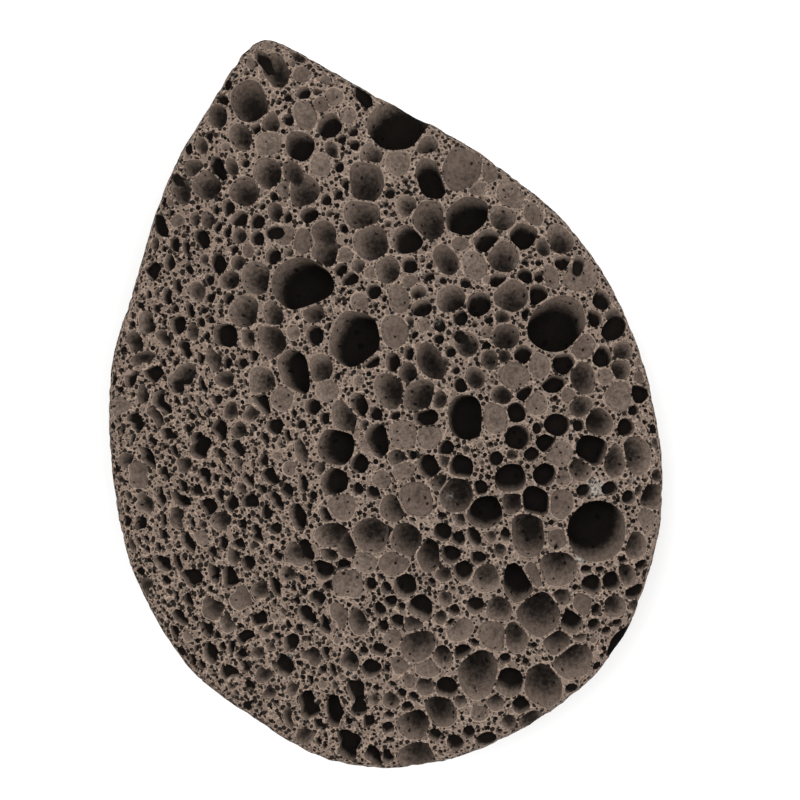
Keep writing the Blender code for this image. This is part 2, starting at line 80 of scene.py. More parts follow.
# The large bubbles that the saw opened on the upper face, in millimetres: place along X
# and Y, width, length, how the saw caught it, and its turn in degrees where it is turned.
LARGE_BUBBLES_MM = (
    # The narrow end.
    (0.6, 47.1, 1.5, 2.8, D, 25), (1.9, 45.1, 2.6, 4.2, B, 10), (-7.5, 41.9, 2.1, 2.9, B),
    (-2.9, 42.2, 3.7, 5.2, B, 5), (-5.3, 38.1, 2.4, 3, B), (3.7, 38.2, 2.4, 3.6, S, 5),
    (-9.5, 34.6, 1.8, 4, D), (-2.1, 36.2, 2.8, 3, S), (1.8, 34.5, 3.3, 3.9, D, 12), (6.4, 35.9, 3, 3, D),
    (-15.1, 33.8, 2.2, 3.4, B, -5), (-11.6, 33.4, 3.2, 3, B), (-3.3, 32.3, 3, 3.8, B, 5),
    (14.9, 33.2, 7, 6.6, D, 20), (-19.1, 30, 1.5, 4.4, D), (-7.1, 31, 3, 3.1, B),
    (-0.3, 31.5, 2, 3.2, B, 10), (0.4, 28.8, 3.3, 3.5, B, 10), (3.7, 31.4, 2.2, 2.6, S),
    (10.6, 30.6, 2.4, 2.6, B), (13.6, 28.6, 2.6, 3, S), (8.7, 27.3, 3.7, 5, B, -10),
    (17.2, 25.1, 3.3, 6, D), (21.6, 25.2, 5, 4.8, S),
    # Across the middle, towards the right edge.
    (6.9, 23.4, 3.6, 3.8, B, 15), (24.7, 23.9, 2.2, 2.8, S), (15.2, 20.1, 3.5, 4.4, B),
    (26.6, 19.9, 2.6, 3.6, S), (6.9, 19.4, 3.6, 4.2, B), (11.6, 18.3, 3.5, 3.4, D),
    (20.2, 18.9, 6, 4.2, D, 15), (24.7, 17.3, 2.8, 2.8, B), (7.9, 15.3, 2.6, 3.1, B, 10),
    (15.8, 14.2, 2.4, 3.5, B, 10), (21.8, 14.8, 3.3, 2.9, D), (26.5, 14.1, 3.3, 3.1, D),
    (8.2, 11.2, 2.3, 3.4, S), (19.2, 12.4, 2.6, 3.2, S), (23.2, 12.4, 3.2, 4, B), (31.1, 12.2, 2.7, 3.3, B),
    (10.7, 9, 2.6, 2.2, D), (14.9, 9, 3.2, 2.8, B), (6.4, 7.2, 3.2, 3.4, S), (18.1, 7.2, 3.1, 2.9, D),
    (22.7, 7, 3.9, 3.6, B), (26, 6, 2.4, 3, D), (32.4, 6.8, 4.2, 3.2, S), (9.7, 2, 2.6, 5.2, B, 8),
    (15, 2.6, 2.5, 2.6, B), (20.2, 2, 3, 2.9, B), (27.3, 1.5, 7.6, 6.9, D),
    # Across the middle, either side of the centre line.
    (-9.1, 19.6, 3.2, 3.7, B, 10), (-1.6, 22.2, 2.4, 2.9, S), (0.7, 20.1, 3, 4, B), (1.2, 22.4, 2.6, 3, B),
    (-3.4, 17, 7.9, 6.6, D, -20), (-12.1, 15.8, 3.2, 3.6, B), (-8.4, 14.2, 2, 3, B),
    (-9.7, 10.9, 2.8, 4.2, B, 12), (1, 7.9, 6.3, 6.9, D, -15), (-12.6, 6.2, 2.6, 3.2, B, 15),
    (-7.8, 6, 3.6, 6.8, D, 5), (-4.6, 5.4, 2.6, 3.2, B), (-13.2, 3.4, 1.7, 3.6, D, 15),
    (-10.7, 3.2, 2.6, 2.6, S), (-4.6, 2.4, 2.4, 2.6, S),
    # Across the middle, towards the left edge: torn and slanting.
    (-15.2, 13.5, 2.8, 3.1, D, 10), (-31.9, 8.8, 3, 2, S), (-22.3, 10.1, 3, 2.2, B),
    (-26.3, 7.2, 1.8, 3.4, D, 25), (-30.1, 0.8, 1.5, 5.4, D, 12), (-23, 0.5, 2.4, 3.3, D, 5),
    # The belly, towards the right edge.
    (21.7, -1.2, 2.3, 2.7, D), (34.4, -1.3, 3.4, 2.4, D, 25), (19.8, -3.2, 3.4, 3.2, S),
    (23.3, -2.9, 2.4, 3, S), (26.6, -3.7, 2.7, 2.8, D), (29.7, -2.3, 2.6, 3, S), (12, -6.6, 4.2, 5.6, D),
    (24.5, -6, 3.1, 2, D, -5), (28.4, -6.4, 2.6, 3.8, B, -10), (31.7, -4.5, 2.4, 2.6, D),
    (15.7, -7.9, 2.9, 3.4, S), (18.5, -8, 2.5, 2.5, D), (21.5, -7.7, 2.4, 2.6, S), (27, -9.8, 2.6, 2.4, B),
    (32.4, -10.2, 3, 3.4, S, -15), (17.7, -11.3, 3, 3.1, D), (21.2, -13.2, 2.7, 2.2, D, -20),
    (23.2, -11.3, 3.2, 2.6, D), (28.6, -12.7, 2.9, 3, B), (34.8, -10.6, 2.5, 2.3, D),
    (15.2, -16.3, 3.6, 3.6, D), (22.4, -15.1, 3, 2.8, S), (26.6, -15.9, 3.9, 3.9, D),
    (14.4, -19.5, 2.4, 2.6, B), (19.8, -17.2, 3.1, 2.7, D, 15), (24.4, -17.8, 2.4, 2.8, B),
    (29.2, -18.2, 2.4, 3.4, B, -20), (32.2, -18.4, 2.9, 4.2, B, -5), (17.4, -20.2, 3.5, 4, D, 20),
    (20.6, -21.5, 2.6, 3.4, S, -15), (15.1, -24, 3.5, 5.2, B, -5), (32.5, -24.3, 2.9, 2.8, B),
    (23.9, -26.6, 7.2, 7.6, D), (17.6, -29.6, 3.9, 4, B), (28.3, -29.9, 2.2, 3.2, B, -25),
    (21.2, -33, 2.4, 2.6, D, -15), (13.4, -34.6, 4.6, 5.2, B), (17, -37, 2.8, 3.4, D),
    (19.3, -35.2, 2, 3, S), (14.6, -38.9, 3, 2.9, B), (15.8, -42, 4.5, 3.6, B, 25),
    (22.4, -42, 4.6, 2.4, D, 45),
    # The belly, either side of the centre line.
    (-1.1, -0.8, 1.9, 3.2, D, 5), (3.4, -0.2, 3, 4.2, B), (-3.6, -1.8, 2.3, 4.2, B, 5),
    (7, -2, 3.8, 3.5, B, 10), (-5.6, -5.2, 4.4, 4.8, D, 10), (-0.1, -6, 2.8, 4.4, D, 5),
    (3.3, -6.5, 3.2, 3.6, S, 20), (6.9, -5, 2.9, 2.5, D), (-7.4, -9.5, 3.2, 3.6, D, -15),
    (6.4, -7.7, 3, 2.6, S), (-13.4, -12.5, 2, 3.6, D, -10), (-7.5, -13, 3, 3, S), (1.9, -11, 2.6, 2.2, S),
    (5.2, -11.5, 2.7, 3.2, D, 5), (9.3, -12.8, 2.9, 3, D), (-9.9, -16.3, 3.4, 3, B, -15),
    (-1, -15.4, 2.6, 3.2, B, 15), (2.3, -15.1, 3.8, 4.2, S), (7.6, -16.2, 3.8, 4.2, B),
    (-8.4, -18.2, 2.4, 3, B, 10), (-5, -18, 3.9, 3.8, B), (10.5, -19.4, 4.6, 4, D),
    (-12.2, -20.3, 2.4, 2.8, D, 25), (-6.7, -20.9, 2.6, 2.6, S), (-3.2, -22.4, 3.4, 2.7, S),
    (-0.7, -19.8, 3.2, 4.2, B, 5), (-9.8, -22.9, 3.8, 3.4, S), (1.7, -22.6, 2.4, 4.2, B, -8),
    # The rounded end.
    (-12, -26.9, 1.6, 4.4, S, 5), (-10, -28.2, 2.2, 2.8, B), (-2.6, -25.6, 2.7, 3, D),
    (5.5, -26.1, 2.5, 2.4, D), (8, -27.9, 2.9, 2.9, B), (-1.5, -29.1, 3, 3.2, D, 10),
    (11.9, -30.1, 3.5, 5.3, D), (-3.3, -33.9, 4.1, 3.6, B), (2.7, -33.5, 3, 2.3, S, 15),
    (8.4, -32.5, 2.8, 2.7, B), (-13, -37, 1.8, 3.8, D, -5), (-2.9, -37, 2.8, 2.4, S),
    (-0.9, -36.2, 2.4, 2.8, B), (6.6, -35.6, 3, 3.8, S), (9.4, -36.6, 2.6, 3.4, B),
    (-1.4, -40.3, 2.7, 2.8, D), (3.3, -39.8, 4.2, 6.2, B, -20), (-3, -42.9, 3.4, 3.6, B, 20),
    (6.7, -42.1, 3.6, 3.6, D), (-13.3, -46.3, 1.7, 4, D, 5), (-7, -43.6, 3.8, 3.2, B, 15),
    (11, -43.9, 4, 4.6, B, -10), (-8.1, -48, 3.8, 3.6, B), (8, -48, 3, 2.2, B, 10),
    # The belly, towards the left edge: torn and slanting.
    (-31.9, -0.5, 2.2, 3.5, S), (-27.6, -5.6, 1.5, 3.7, D, 30), (-24.4, -17.5, 2.1, 2.7, D),
    (-15.3, -17.3, 2.4, 2.5, B), (-27.9, -20.8, 2.1, 2.8, B), (-23.9, -20.5, 2.2, 2.8, S),
    (-19.6, -36.9, 2.3, 3.5, D, -10), (-16.6, -38.9, 2, 4.6, D, -15), (-16.2, -43.6, 2.4, 4.4, D, -8),
)

# The small ones between them, in the same form.
SMALL_BUBBLES_MM = (
    # The narrow end.
    (-1.1, 47, 1, 1.6, S), (2, 49.1, 1.6, 1.8, S), (3.2, 48.6, 0.6, 0.6, B), (-4.9, 45.3, 1, 2.2, D),
    (-3.7, 44.9, 0.6, 0.6, D), (-3.6, 46.1, 0.8, 0.8, D), (-2, 45.9, 0.8, 0.8, D), (4.1, 45.5, 1, 1, S),
    (4.9, 43.6, 2.1, 1.8, S), (5.4, 46.2, 1.6, 2, B, 20), (6.2, 44.4, 0.8, 0.8, B),
    (7.5, 43.7, 0.8, 0.8, D), (-6.1, 43.4, 1.2, 3.2, D, 15), (3.6, 42.8, 0.6, 1, D), (4.4, 41, 1.7, 1.8, D),
    (6.1, 40.7, 0.9, 0.9, B), (6.9, 41.4, 0.8, 0.6, D), (7.7, 41.9, 1.2, 1.2, S), (9.5, 41.7, 0.9, 0.9, B),
    (-12.6, 38.8, 1, 1.6, D), (-10.7, 38.6, 1.3, 2, B), (-9.3, 39.4, 0.9, 1.3, D),
    (-3.1, 38.6, 1.5, 2.1, D), (-1.05, 38.7, 1.9, 2.6, B, -10), (1.5, 38.3, 1.5, 1.5, D),
    (6.2, 39, 1.8, 1.8, S), (8.1, 39.4, 2, 2, S), (11.8, 38.2, 1.4, 3.6, D, 20), (-15.3, 35.6, 1.2, 1.2, D),
    (-14.3, 36.3, 0.7, 0.7, D), (-12.7, 36, 2.2, 1.9, B), (-7.7, 34.6, 1.3, 2.1, B), (-7.7, 37.4, 1, 1, S),
    (-5.8, 34.5, 1.1, 1.1, D), (9.2, 36.5, 1.8, 1.8, S), (-17.8, 33, 0.9, 1.5, D), (-17, 32.6, 1, 1, S),
    (-1.55, 34, 0.9, 0.9, D), (5.65, 32.8, 1.3, 2.1, B), (7.4, 33.7, 1.2, 1.2, D), (8.8, 32.4, 1.3, 1.3, D),
    (9.1, 34.2, 1.3, 1.3, D), (-17.2, 31.1, 0.9, 0.9, D), (-16.8, 30, 1.8, 1.3, S),
    (-14.4, 29.3, 1.2, 1.8, B), (-12.9, 28.8, 1.6, 2.3, B), (-11.5, 29.7, 0.9, 1.4, D, -15),
    (-9.7, 29.6, 1.5, 2.2, D), (-3.4, 29.2, 1.2, 1.6, D, -10), (-2, 29.6, 1.8, 2.8, S),
    (17.9, 29.5, 2.4, 2, B), (-20.6, 28, 1, 2.2, B), (-19.6, 26.9, 0.6, 1.2, D), (-18, 27, 1.2, 2.2, D),
    (-16.7, 26.3, 1, 2, D), (-14.3, 26.8, 1.6, 2.8, D), (-12.4, 25.9, 0.8, 0.8, D),
    (-11.9, 27.6, 1.2, 1.4, D), (-10.8, 26.4, 1.3, 1.3, D), (-9.6, 25.6, 1.6, 2, B),
    (-8.85, 27.7, 2, 2.2, D), (-6.6, 26.6, 1.7, 1.8, D), (-5.4, 28.3, 1, 0.8, D), (-4, 27.2, 1.6, 2.3, B),
    (-2.6, 26, 1.1, 1.6, D), (6.2, 27.8, 1.3, 1.5, D), (19.1, 27.8, 0.5, 0.5, D), (19.5, 26.9, 0.8, 0.8, D),
    (20.2, 27.6, 0.5, 0.5, D), (0.2, 25.4, 2.1, 2, D),
    # Across the middle, towards the right edge.
    (11.3, 24.9, 1.3, 1.5, D), (13, 22.6, 2.2, 2.4, B), (13.5, 24.3, 0.9, 0.9, D), (22.6, 22.1, 2, 1.8, S),
    (5.6, 15.7, 1.4, 1.4, S), (10.9, 14.9, 1.8, 2.2, D), (12.8, 15.1, 0.8, 0.8, D), (18.2, 15.7, 2, 1.6, S),
    (24.3, 14.5, 0.6, 0.9, D), (28.7, 16.4, 1.8, 2.9, S, 10), (5.3, 13, 1.8, 1.8, D),
    (6.5, 11.7, 0.9, 0.9, D), (10.3, 12.9, 1.8, 1.6, S), (10.9, 11.3, 1.8, 1.6, B), (12.9, 12.7, 1.6, 1, D),
    (25.7, 10.7, 1, 0.9, D), (26.6, 11.2, 0.7, 0.7, D), (28.7, 11.9, 1.5, 2, B), (8.7, 7.8, 1, 1.2, B),
    (17.3, 10.4, 1.3, 1.3, D), (21.7, 9.5, 2.2, 2.1, D), (25.1, 8.8, 1.8, 2.2, D), (26.9, 8.2, 1.3, 1.5, D),
    (28.5, 7.9, 1.7, 3, S), (30.5, 9.1, 2.1, 1.9, D), (32.6, 8.5, 1.5, 1.6, D), (8.7, 5.9, 1.1, 1.1, D),
    (10.3, 6.9, 1.6, 1.6, S), (12.3, 6.2, 1.4, 2, D), (15.3, 6.3, 1.8, 2, D), (18.8, 4.8, 1.2, 1.2, D),
    (20.7, 4.7, 1.6, 1.6, B), (7.3, 3.7, 1.4, 1.9, D), (11.7, 4.4, 1.3, 1.3, D), (12.7, 2.3, 1.4, 1.4, D),
    (14.4, 4, 1.4, 1.4, D), (18.1, 3.4, 1.4, 1.4, S), (23.9, 4.1, 1.5, 1.6, D), (32.7, 3.9, 0.5, 0.5, D),
    (33.9, 2.8, 2, 2.7, D), (6.3, 1.4, 2, 2.6, B), (11.3, 1.3, 1.2, 1.2, B), (17.5, 1.5, 1.3, 1.3, D),
    (32.2, 0.8, 2, 2, D), (35, 0.4, 1.9, 1.6, B),
    # Across the middle, either side of the centre line.
    (-13.2, 22.8, 1.7, 2.8, D), (-10.6, 24, 1.1, 1.1, D), (-9, 23.3, 1.3, 1.8, S),
    (-7.8, 22.6, 0.8, 0.8, D), (-7.3, 24.5, 1.7, 1.8, D), (-5, 24.6, 2.1, 1.5, D),
    (-3.7, 23.8, 2.3, 2.2, S), (-12.5, 20.4, 2.4, 2, B), (-10.7, 22.1, 1.6, 1.8, B), (-6, 21.5, 1.9, 2, D),
    (-3.9, 21.4, 1.2, 1.1, B), (4.1, 22.3, 1.1, 1.3, D), (-13.3, 17.8, 1.4, 1.8, D), (2, 17.3, 1.8, 1.9, D),
    (3.1, 18.8, 1.8, 1.8, S), (4.4, 17, 1.6, 1.6, B), (2.8, 15.7, 2.3, 1.6, D), (-12.5, 12.2, 1.4, 2.2, B),
    (-6.6, 11.1, 1.4, 1.8, S), (-3.2, 12.9, 2.2, 2.4, B), (3.1, 12.2, 1.9, 2.2, S), (-3.9, 9.9, 2, 2.5, D),
    (-1.6, 10.3, 1.1, 1.1, D), (-2.8, 3.75, 1.1, 0.9, D), (2.2, 4.3, 2, 1.6, D), (4.9, 3.1, 1.7, 3, D),
    (-7.1, 0.9, 1.9, 2, D),
    # Across the middle, towards the left edge: torn and slanting.
    (-21.8, 24.6, 1.6, 2.2, D), (-19.4, 25, 1.4, 2.2, D), (-18.2, 25, 0.6, 0.6, D),
    (-17.2, 23.4, 0.8, 2, D, 15), (-24.4, 21.8, 0.5, 0.5, D), (-23.3, 21.7, 0.7, 1.1, D),
    (-22.3, 21.6, 0.7, 1.2, B), (-21.1, 20.8, 1.2, 2.8, D, -10), (-19.4, 21.5, 0.9, 2.6, D),
    (-17.2, 20.2, 1.8, 2.2, B), (-28.4, 17.8, 1, 1, B), (-26.6, 18.6, 0.9, 0.9, D),
    (-24.8, 18.2, 2, 2.4, B, -10), (-20.9, 16.7, 1.8, 2.7, D, 5), (-20.6, 18.9, 0.8, 1.2, D),
    (-18.7, 18.1, 0.9, 3.2, D, -5), (-15.6, 18.8, 1.2, 1.1, D), (-30.9, 14.1, 0.8, 0.8, D),
    (-28.8, 15.8, 1.2, 0.8, D), (-27.2, 16.3, 1.8, 2.6, B), (-26.9, 14, 3.2, 1.4, B, -20),
    (-23.3, 15.7, 1.3, 2, B, 15), (-19.3, 15.3, 1.2, 2.4, B), (-17.8, 16.1, 0.9, 1.6, D),
    (-16.5, 16, 0.9, 0.9, D), (-31.3, 12.5, 0.8, 2.6, D, -30), (-24.3, 12.5, 0.7, 1.6, D, 20),
    (-22.7, 11.9, 0.9, 0.9, D), (-20.9, 13.4, 1.3, 2.4, D, 20), (-19.2, 11.4, 0.9, 2.8, D, 15),
    (-17.9, 10.9, 1.6, 3.2, B, 15), (-29.4, 9.6, 0.8, 0.8, D), (-28.2, 9.2, 1.4, 2.2, B),
    (-27.8, 9.3, 0.6, 1.2, D), (-23.4, 9, 2, 1.7, D, -15), (-20.2, 8, 0.8, 2.4, D),
    (-17.2, 8, 2.5, 1.7, B, -20), (-16.1, 9.9, 1, 1.8, D), (-14.2, 9.2, 1.2, 1.4, D),
    (-33.5, 6.6, 0.9, 0.9, D), (-32.2, 7, 0.8, 0.8, D), (-27.4, 6.4, 1.4, 3, B, 10),
    (-22.8, 4.5, 1, 0.9, D), (-22, 4.7, 0.6, 3, D, 15), (-18.9, 5.6, 1.6, 1.1, D, -15),
    (-16.7, 5.8, 1.3, 1, D), (-14.6, 6.7, 0.8, 0.8, D), (-31.3, 3.9, 0.6, 2, D, -45),
    (-27.6, 1.7, 0.8, 0.8, D), (-26.6, 3.2, 1.2, 2.8, D, 45), (-23.7, 3.1, 1, 1.2, D),
    (-19.7, 1.7, 1.5, 3.2, D), (-15.3, 2.4, 1.8, 1.5, B), (-34.6, 0.9, 0.8, 1, D), (-33, 1.5, 1.6, 2, B),
    (-26.4, 0.9, 0.9, 1.6, D), (-17.4, 0.9, 1.8, 1.6, B),
    # The belly, towards the right edge.
    (12.6, -0.3, 1, 1, D), (17.4, -0.2, 1.9, 2.4, B), (19.3, -0.4, 1.4, 1.8, B), (12.6, -2.4, 1.6, 2, D),
    (14.7, -2, 2, 2.4, B), (17.4, -5.3, 2.2, 2.2, B), (20.4, -6, 2.2, 1.9, D), (31.4, -7.1, 1.8, 2, S),
    (33.5, -6.8, 2.1, 2.4, B), (34.6, -4.5, 2.2, 2, B), (25.9, -8, 1.6, 1.8, S), (36, -8.6, 1.8, 1.8, S),
    (36.8, -7.7, 0.7, 1.6, B), (14.1, -13.1, 1.7, 1.8, D), (16.4, -13.2, 1.3, 1.2, B),
    (20.6, -10.9, 1.2, 1.4, D), (26, -12.2, 1.6, 1.5, D), (33.5, -12.4, 1.4, 1.4, D),
    (18.8, -14, 1.9, 1.7, D), (31.9, -14.4, 2, 2.2, D), (35.4, -15.7, 1, 1.2, D), (20.6, -19, 0.8, 0.8, D),
    (21.8, -18.3, 1.8, 1.8, S), (35.2, -17.7, 1, 1.6, B), (24, -20.7, 1.8, 1.6, D),
    (27.4, -21.5, 2, 1.6, D), (34.1, -21.9, 1.4, 1.6, B), (12.3, -23.2, 1.4, 1.6, D),
    (29.5, -23.4, 1.8, 1.6, D), (31.1, -23, 1.2, 1, B), (18.2, -27.1, 0.8, 0.8, D),
    (18.7, -25.9, 2.2, 2.2, S), (31, -26.9, 2, 2.4, S), (14.2, -29.6, 1.6, 3.4, S),
    (21.1, -30.8, 1.4, 1.3, D), (22.9, -31.3, 1.2, 1.1, D), (24.2, -31.1, 0.8, 0.8, D),
    (26.2, -31.2, 1.2, 1.3, D), (16.9, -33.4, 2, 1.9, B), (19, -32.7, 0.9, 0.9, D),
    (23.9, -33.3, 2.3, 2.3, D), (26.1, -33.2, 1.8, 2.8, B), (28.3, -32.5, 1.6, 1.6, D),
    (28.8, -34.1, 1.3, 1.5, B), (20.7, -36.3, 1.5, 1.7, D), (23.3, -36.8, 2.4, 2.3, B),
    (26, -37.5, 1.6, 1.6, B), (26.4, -35.7, 2.4, 2.2, D), (17.4, -39.2, 1.8, 1.2, B),
    (19.9, -38.1, 1.6, 1.6, D), (21.2, -39.4, 1.3, 1, D), (22.9, -38.8, 1.3, 1.1, D),
    (14.4, -45.5, 1.6, 1.5, D), (18.6, -43.7, 1.1, 1.1, D),
    # The belly, either side of the centre line.
    (-9.2, -0.9, 1.3, 1.1, D), (-6, -1.1, 1.2, 1.6, D), (-11.4, -1.8, 0.7, 3.4, D, -8),
    (-1.2, -3.5, 1.1, 1.1, B), (0.7, -2.6, 1.5, 1.8, D), (3.1, -3.6, 1.3, 1.3, D), (9.1, -3.2, 1.9, 2, B),
    (-10.4, -4.5, 1.2, 3.4, B), (-8.6, -7.3, 1.1, 1.6, B), (-3, -6.2, 0.6, 0.6, D), (-1.9, -6, 1.6, 2, S),
    (-11.4, -8.5, 1.1, 3, D, -15), (-10.6, -10.4, 1.2, 1, D), (-3.4, -8.1, 2.1, 2.5, D),
    (1.6, -8.9, 2, 2, B), (3.6, -9.2, 1.2, 1.5, D), (4.7, -8.8, 0.7, 0.7, D), (8.1, -9.7, 2.1, 1.8, D),
    (-9.6, -13.4, 1.6, 2.2, D), (-4.6, -11.4, 1.3, 1.5, D), (-2.8, -12.4, 1.8, 1.6, D),
    (-1.3, -11.2, 2.2, 2, S), (0.1, -12.6, 0.8, 0.8, D), (0.4, -11.9, 0.7, 0.7, D),
    (3.4, -12.4, 1.1, 1.1, D), (7.4, -11.4, 1.2, 1.4, B), (4.8, -15.8, 0.8, 0.8, D),
    (5.9, -13.9, 2.2, 2, B), (10.9, -16.3, 1.8, 2, D), (-13.7, -17.3, 1.6, 3.4, D),
    (-10.9, -18.5, 2, 1.7, B), (-2.9, -18.1, 1.6, 2, B), (1.2, -17.3, 1.1, 1.1, D), (5, -18.2, 1.3, 1, D),
    (7, -19.2, 1.4, 1.8, B), (-9.5, -20.6, 1.7, 2, D), (4.4, -20.3, 2.2, 2.3, D), (6.1, -21.8, 1.6, 1.9, D),
    (8.2, -22.1, 1.5, 3, D, 5), (-12.2, -22.5, 1.6, 1.4, D), (-7, -23.9, 1.8, 1.6, D),
    (-5.1, -23.4, 1.1, 1.1, D), (4.5, -23.5, 2.4, 2.3, D),
    # The rounded end.
    (-5, -25.2, 1.3, 1.9, D), (7.8, -25.1, 1.9, 1.7, D), (-8.3, -27.4, 0.9, 0.9, D),
    (-6.7, -27.6, 1.6, 1.8, D), (-5, -26.9, 1.8, 1.6, D), (-3.8, -28.1, 1.1, 1.1, D),
    (1.1, -26.1, 1.1, 1.1, D), (2.7, -25.7, 1.8, 1.6, B), (-9.1, -31.1, 0.8, 0.8, D),
    (-6.9, -30, 1.5, 1.8, D), (-4.9, -29.9, 1.9, 1.8, D), (-3.1, -30.8, 2.2, 2, B),
    (0.6, -29.7, 0.7, 0.7, D), (0.7, -31.1, 1.4, 1.6, B), (2, -29, 1.4, 1.8, B), (2.7, -30.6, 1.4, 1.6, D),
    (5.6, -31, 2.2, 2, D), (-10.4, -32.2, 1.2, 1.2, D), (-8.4, -32.6, 1.8, 1.6, D),
    (-6.2, -31.7, 2, 2.2, S), (1.9, -32.2, 1.3, 1.2, D), (-8.1, -35.4, 0.9, 1.2, D), (-6.4, -35.5, 2, 2, S),
    (2.2, -36.5, 2.5, 2.1, D), (4, -35.9, 1.3, 1.7, D), (-13.3, -39.4, 2, 2, D), (-8.9, -39.7, 1.8, 1.9, B),
    (-7.3, -39.1, 1.3, 1.3, D), (-5.9, -40, 1.3, 1.3, D), (-5.9, -37.9, 1.4, 1.8, S),
    (-4.1, -39.2, 2, 2.2, B), (7.2, -38.8, 1.5, 1.5, D), (-12.6, -41.3, 1.5, 1.5, D),
    (-10.4, -42.9, 1.5, 1.6, D), (-9.8, -41.4, 1.2, 1.2, D), (-7.1, -41.1, 1.5, 1.5, D),
    (-0.3, -42.5, 1.6, 1.4, B), (-4.8, -45.6, 1.6, 1.7, D), (1.8, -44.8, 2, 1.8, S), (4.2, -44, 1.9, 2, B),
    (7.4, -45.4, 2.1, 2.2, D), (-11.7, -46.6, 1.5, 1.9, D), (-2.5, -47.6, 1.9, 2, D),
    (1.5, -48.5, 2.6, 1.8, D), (5.2, -47.2, 1.6, 1.6, B),
    # The belly, towards the left edge: torn and slanting.
    (-28.6, -1.5, 1.2, 1.9, D, 15), (-25.8, -1.3, 1.4, 1.9, B), (-18.3, -1.3, 1.5, 2.4, D, 15),
    (-14.4, -1.2, 1, 1.6, D), (-26.7, -4, 1.1, 1.8, D), (-23.4, -3.6, 1.4, 2.4, D),
    (-22.3, -4.2, 0.8, 2, D, 15), (-20.3, -3.6, 0.7, 2.2, D, 15), (-16.1, -2.4, 0.6, 1, D),
    (-35.2, -6.2, 1, 1.4, D), (-33.6, -7, 1.7, 1.6, D), (-32.3, -4.6, 1.5, 2.8, B, 5),
    (-30, -4.5, 1, 3.4, D), (-23.5, -6, 0.5, 1.2, D), (-22.4, -6.6, 1.3, 1.6, D),
    (-19.3, -6.7, 1.2, 1.7, B, 15), (-18.2, -5.9, 1.2, 2.4, D, 10), (-35.7, -9.3, 1, 1.8, B),
    (-34.7, -9.1, 0.8, 1.8, D, 15), (-30.5, -7.6, 0.8, 2, D), (-28.9, -7.9, 1.6, 2.7, B, -10),
    (-27, -9.1, 0.7, 1.8, D), (-25.8, -9.8, 1.1, 1, B), (-24.2, -7.6, 1.8, 2.6, D, 20),
    (-23.5, -9.9, 2.4, 2.2, B), (-21.2, -8.2, 1.8, 2, D), (-18.9, -8.5, 2.6, 1.6, D, -35),
    (-16.8, -7.6, 1, 1.4, D), (-15.4, -9.5, 1.2, 3.2, D, 15), (-35.6, -13.2, 1.2, 1.1, D),
    (-32.4, -12.9, 1.6, 2.8, D, 20), (-32.3, -10.8, 0.6, 2, D), (-28.2, -11.3, 1.6, 3.3, D, 15),
    (-26.6, -11.2, 1.6, 1.8, S), (-24.3, -11.4, 0.8, 0.8, D), (-23.9, -12.8, 1.3, 1.9, D, -15),
    (-20.7, -11.2, 1, 1.7, D), (-19.3, -13.1, 1.2, 3, D, 5), (-16.7, -13.1, 1.5, 1.6, D, -15),
    (-35.7, -15.2, 1.6, 2, B), (-30.5, -13.6, 1, 2.4, D), (-27.2, -13.9, 0.5, 1.5, D),
    (-23.1, -15, 1.6, 2, B), (-22, -13.7, 1.6, 1.6, D), (-21.7, -16.3, 1.8, 2, D),
    (-18.2, -15.6, 0.8, 1.8, D, -20), (-34.2, -18.9, 0.7, 0.7, D), (-33.8, -18, 0.8, 0.8, D),
    (-32, -17.7, 0.6, 2.4, D), (-30.6, -18.7, 1, 2.2, D, 15), (-26.3, -16.6, 1.2, 4.3, D, 8),
    (-20.9, -18.3, 0.6, 1, D), (-17.5, -16.7, 1.4, 1.2, D), (-17, -19.4, 1.6, 2, B),
    (-33.6, -22.2, 0.9, 2.9, D, -3), (-32.3, -20.7, 1.2, 3.3, D, 18), (-26.3, -19.7, 0.6, 1, D),
    (-21.2, -20.3, 2, 2, B), (-19, -20.5, 1.1, 4.2, D, 3), (-15.4, -20.4, 0.8, 1, D),
    (-29.5, -23.1, 1.6, 2, D, 15), (-28.4, -24.3, 0.9, 1.4, D), (-26.7, -23.2, 1.6, 2.2, B),
    (-22.3, -24, 1.7, 1.9, D, -20), (-16.9, -23.2, 1, 1, D), (-16.1, -25.4, 1.8, 2.8, D, 15),
    (-32.5, -26.6, 0.9, 2.4, D), (-31.6, -27.3, 0.9, 1.8, D), (-29.9, -26.4, 1.8, 2.8, D),
    (-28.1, -26, 1.1, 1.1, D), (-27.1, -26.4, 1, 2.2, D, -30), (-26, -27.7, 1.5, 1.3, D),
    (-24.9, -25.6, 2.2, 1.4, D, 20), (-24, -28.2, 1.4, 1.3, B), (-21.9, -25.7, 2, 1, B, 20),
    (-17.7, -26.8, 1, 1.4, D, 15), (-14.3, -27.3, 1.1, 3, D), (-30.3, -28.8, 0.7, 0.7, D),
    (-28.4, -29.5, 2.2, 1.7, D), (-26.1, -29.4, 1, 1.8, D), (-17.1, -30.9, 1.8, 2.2, B),
    (-15.4, -31, 1.1, 2, D), (-26.7, -34.2, 0.9, 0.6, D), (-24.1, -33.8, 1.4, 1.2, B),
    (-21, -34.1, 1.3, 1.5, B), (-18.3, -33.8, 0.7, 1.5, D), (-16.4, -32.9, 1.1, 1.1, D),
    (-15.1, -33.3, 0.8, 2.2, D), (-27.5, -34.6, 1.3, 1.2, D), (-23.6, -37.8, 0.5, 1.8, D),
    (-22.8, -37.8, 1, 3, B, -5), (-21.5, -40.9, 2.2, 2, B), (-19.8, -41.9, 0.9, 0.9, D),
    (-19.2, -42.7, 0.8, 0.8, D), (-14.4, -47.1, 0.8, 0.8, D),
)


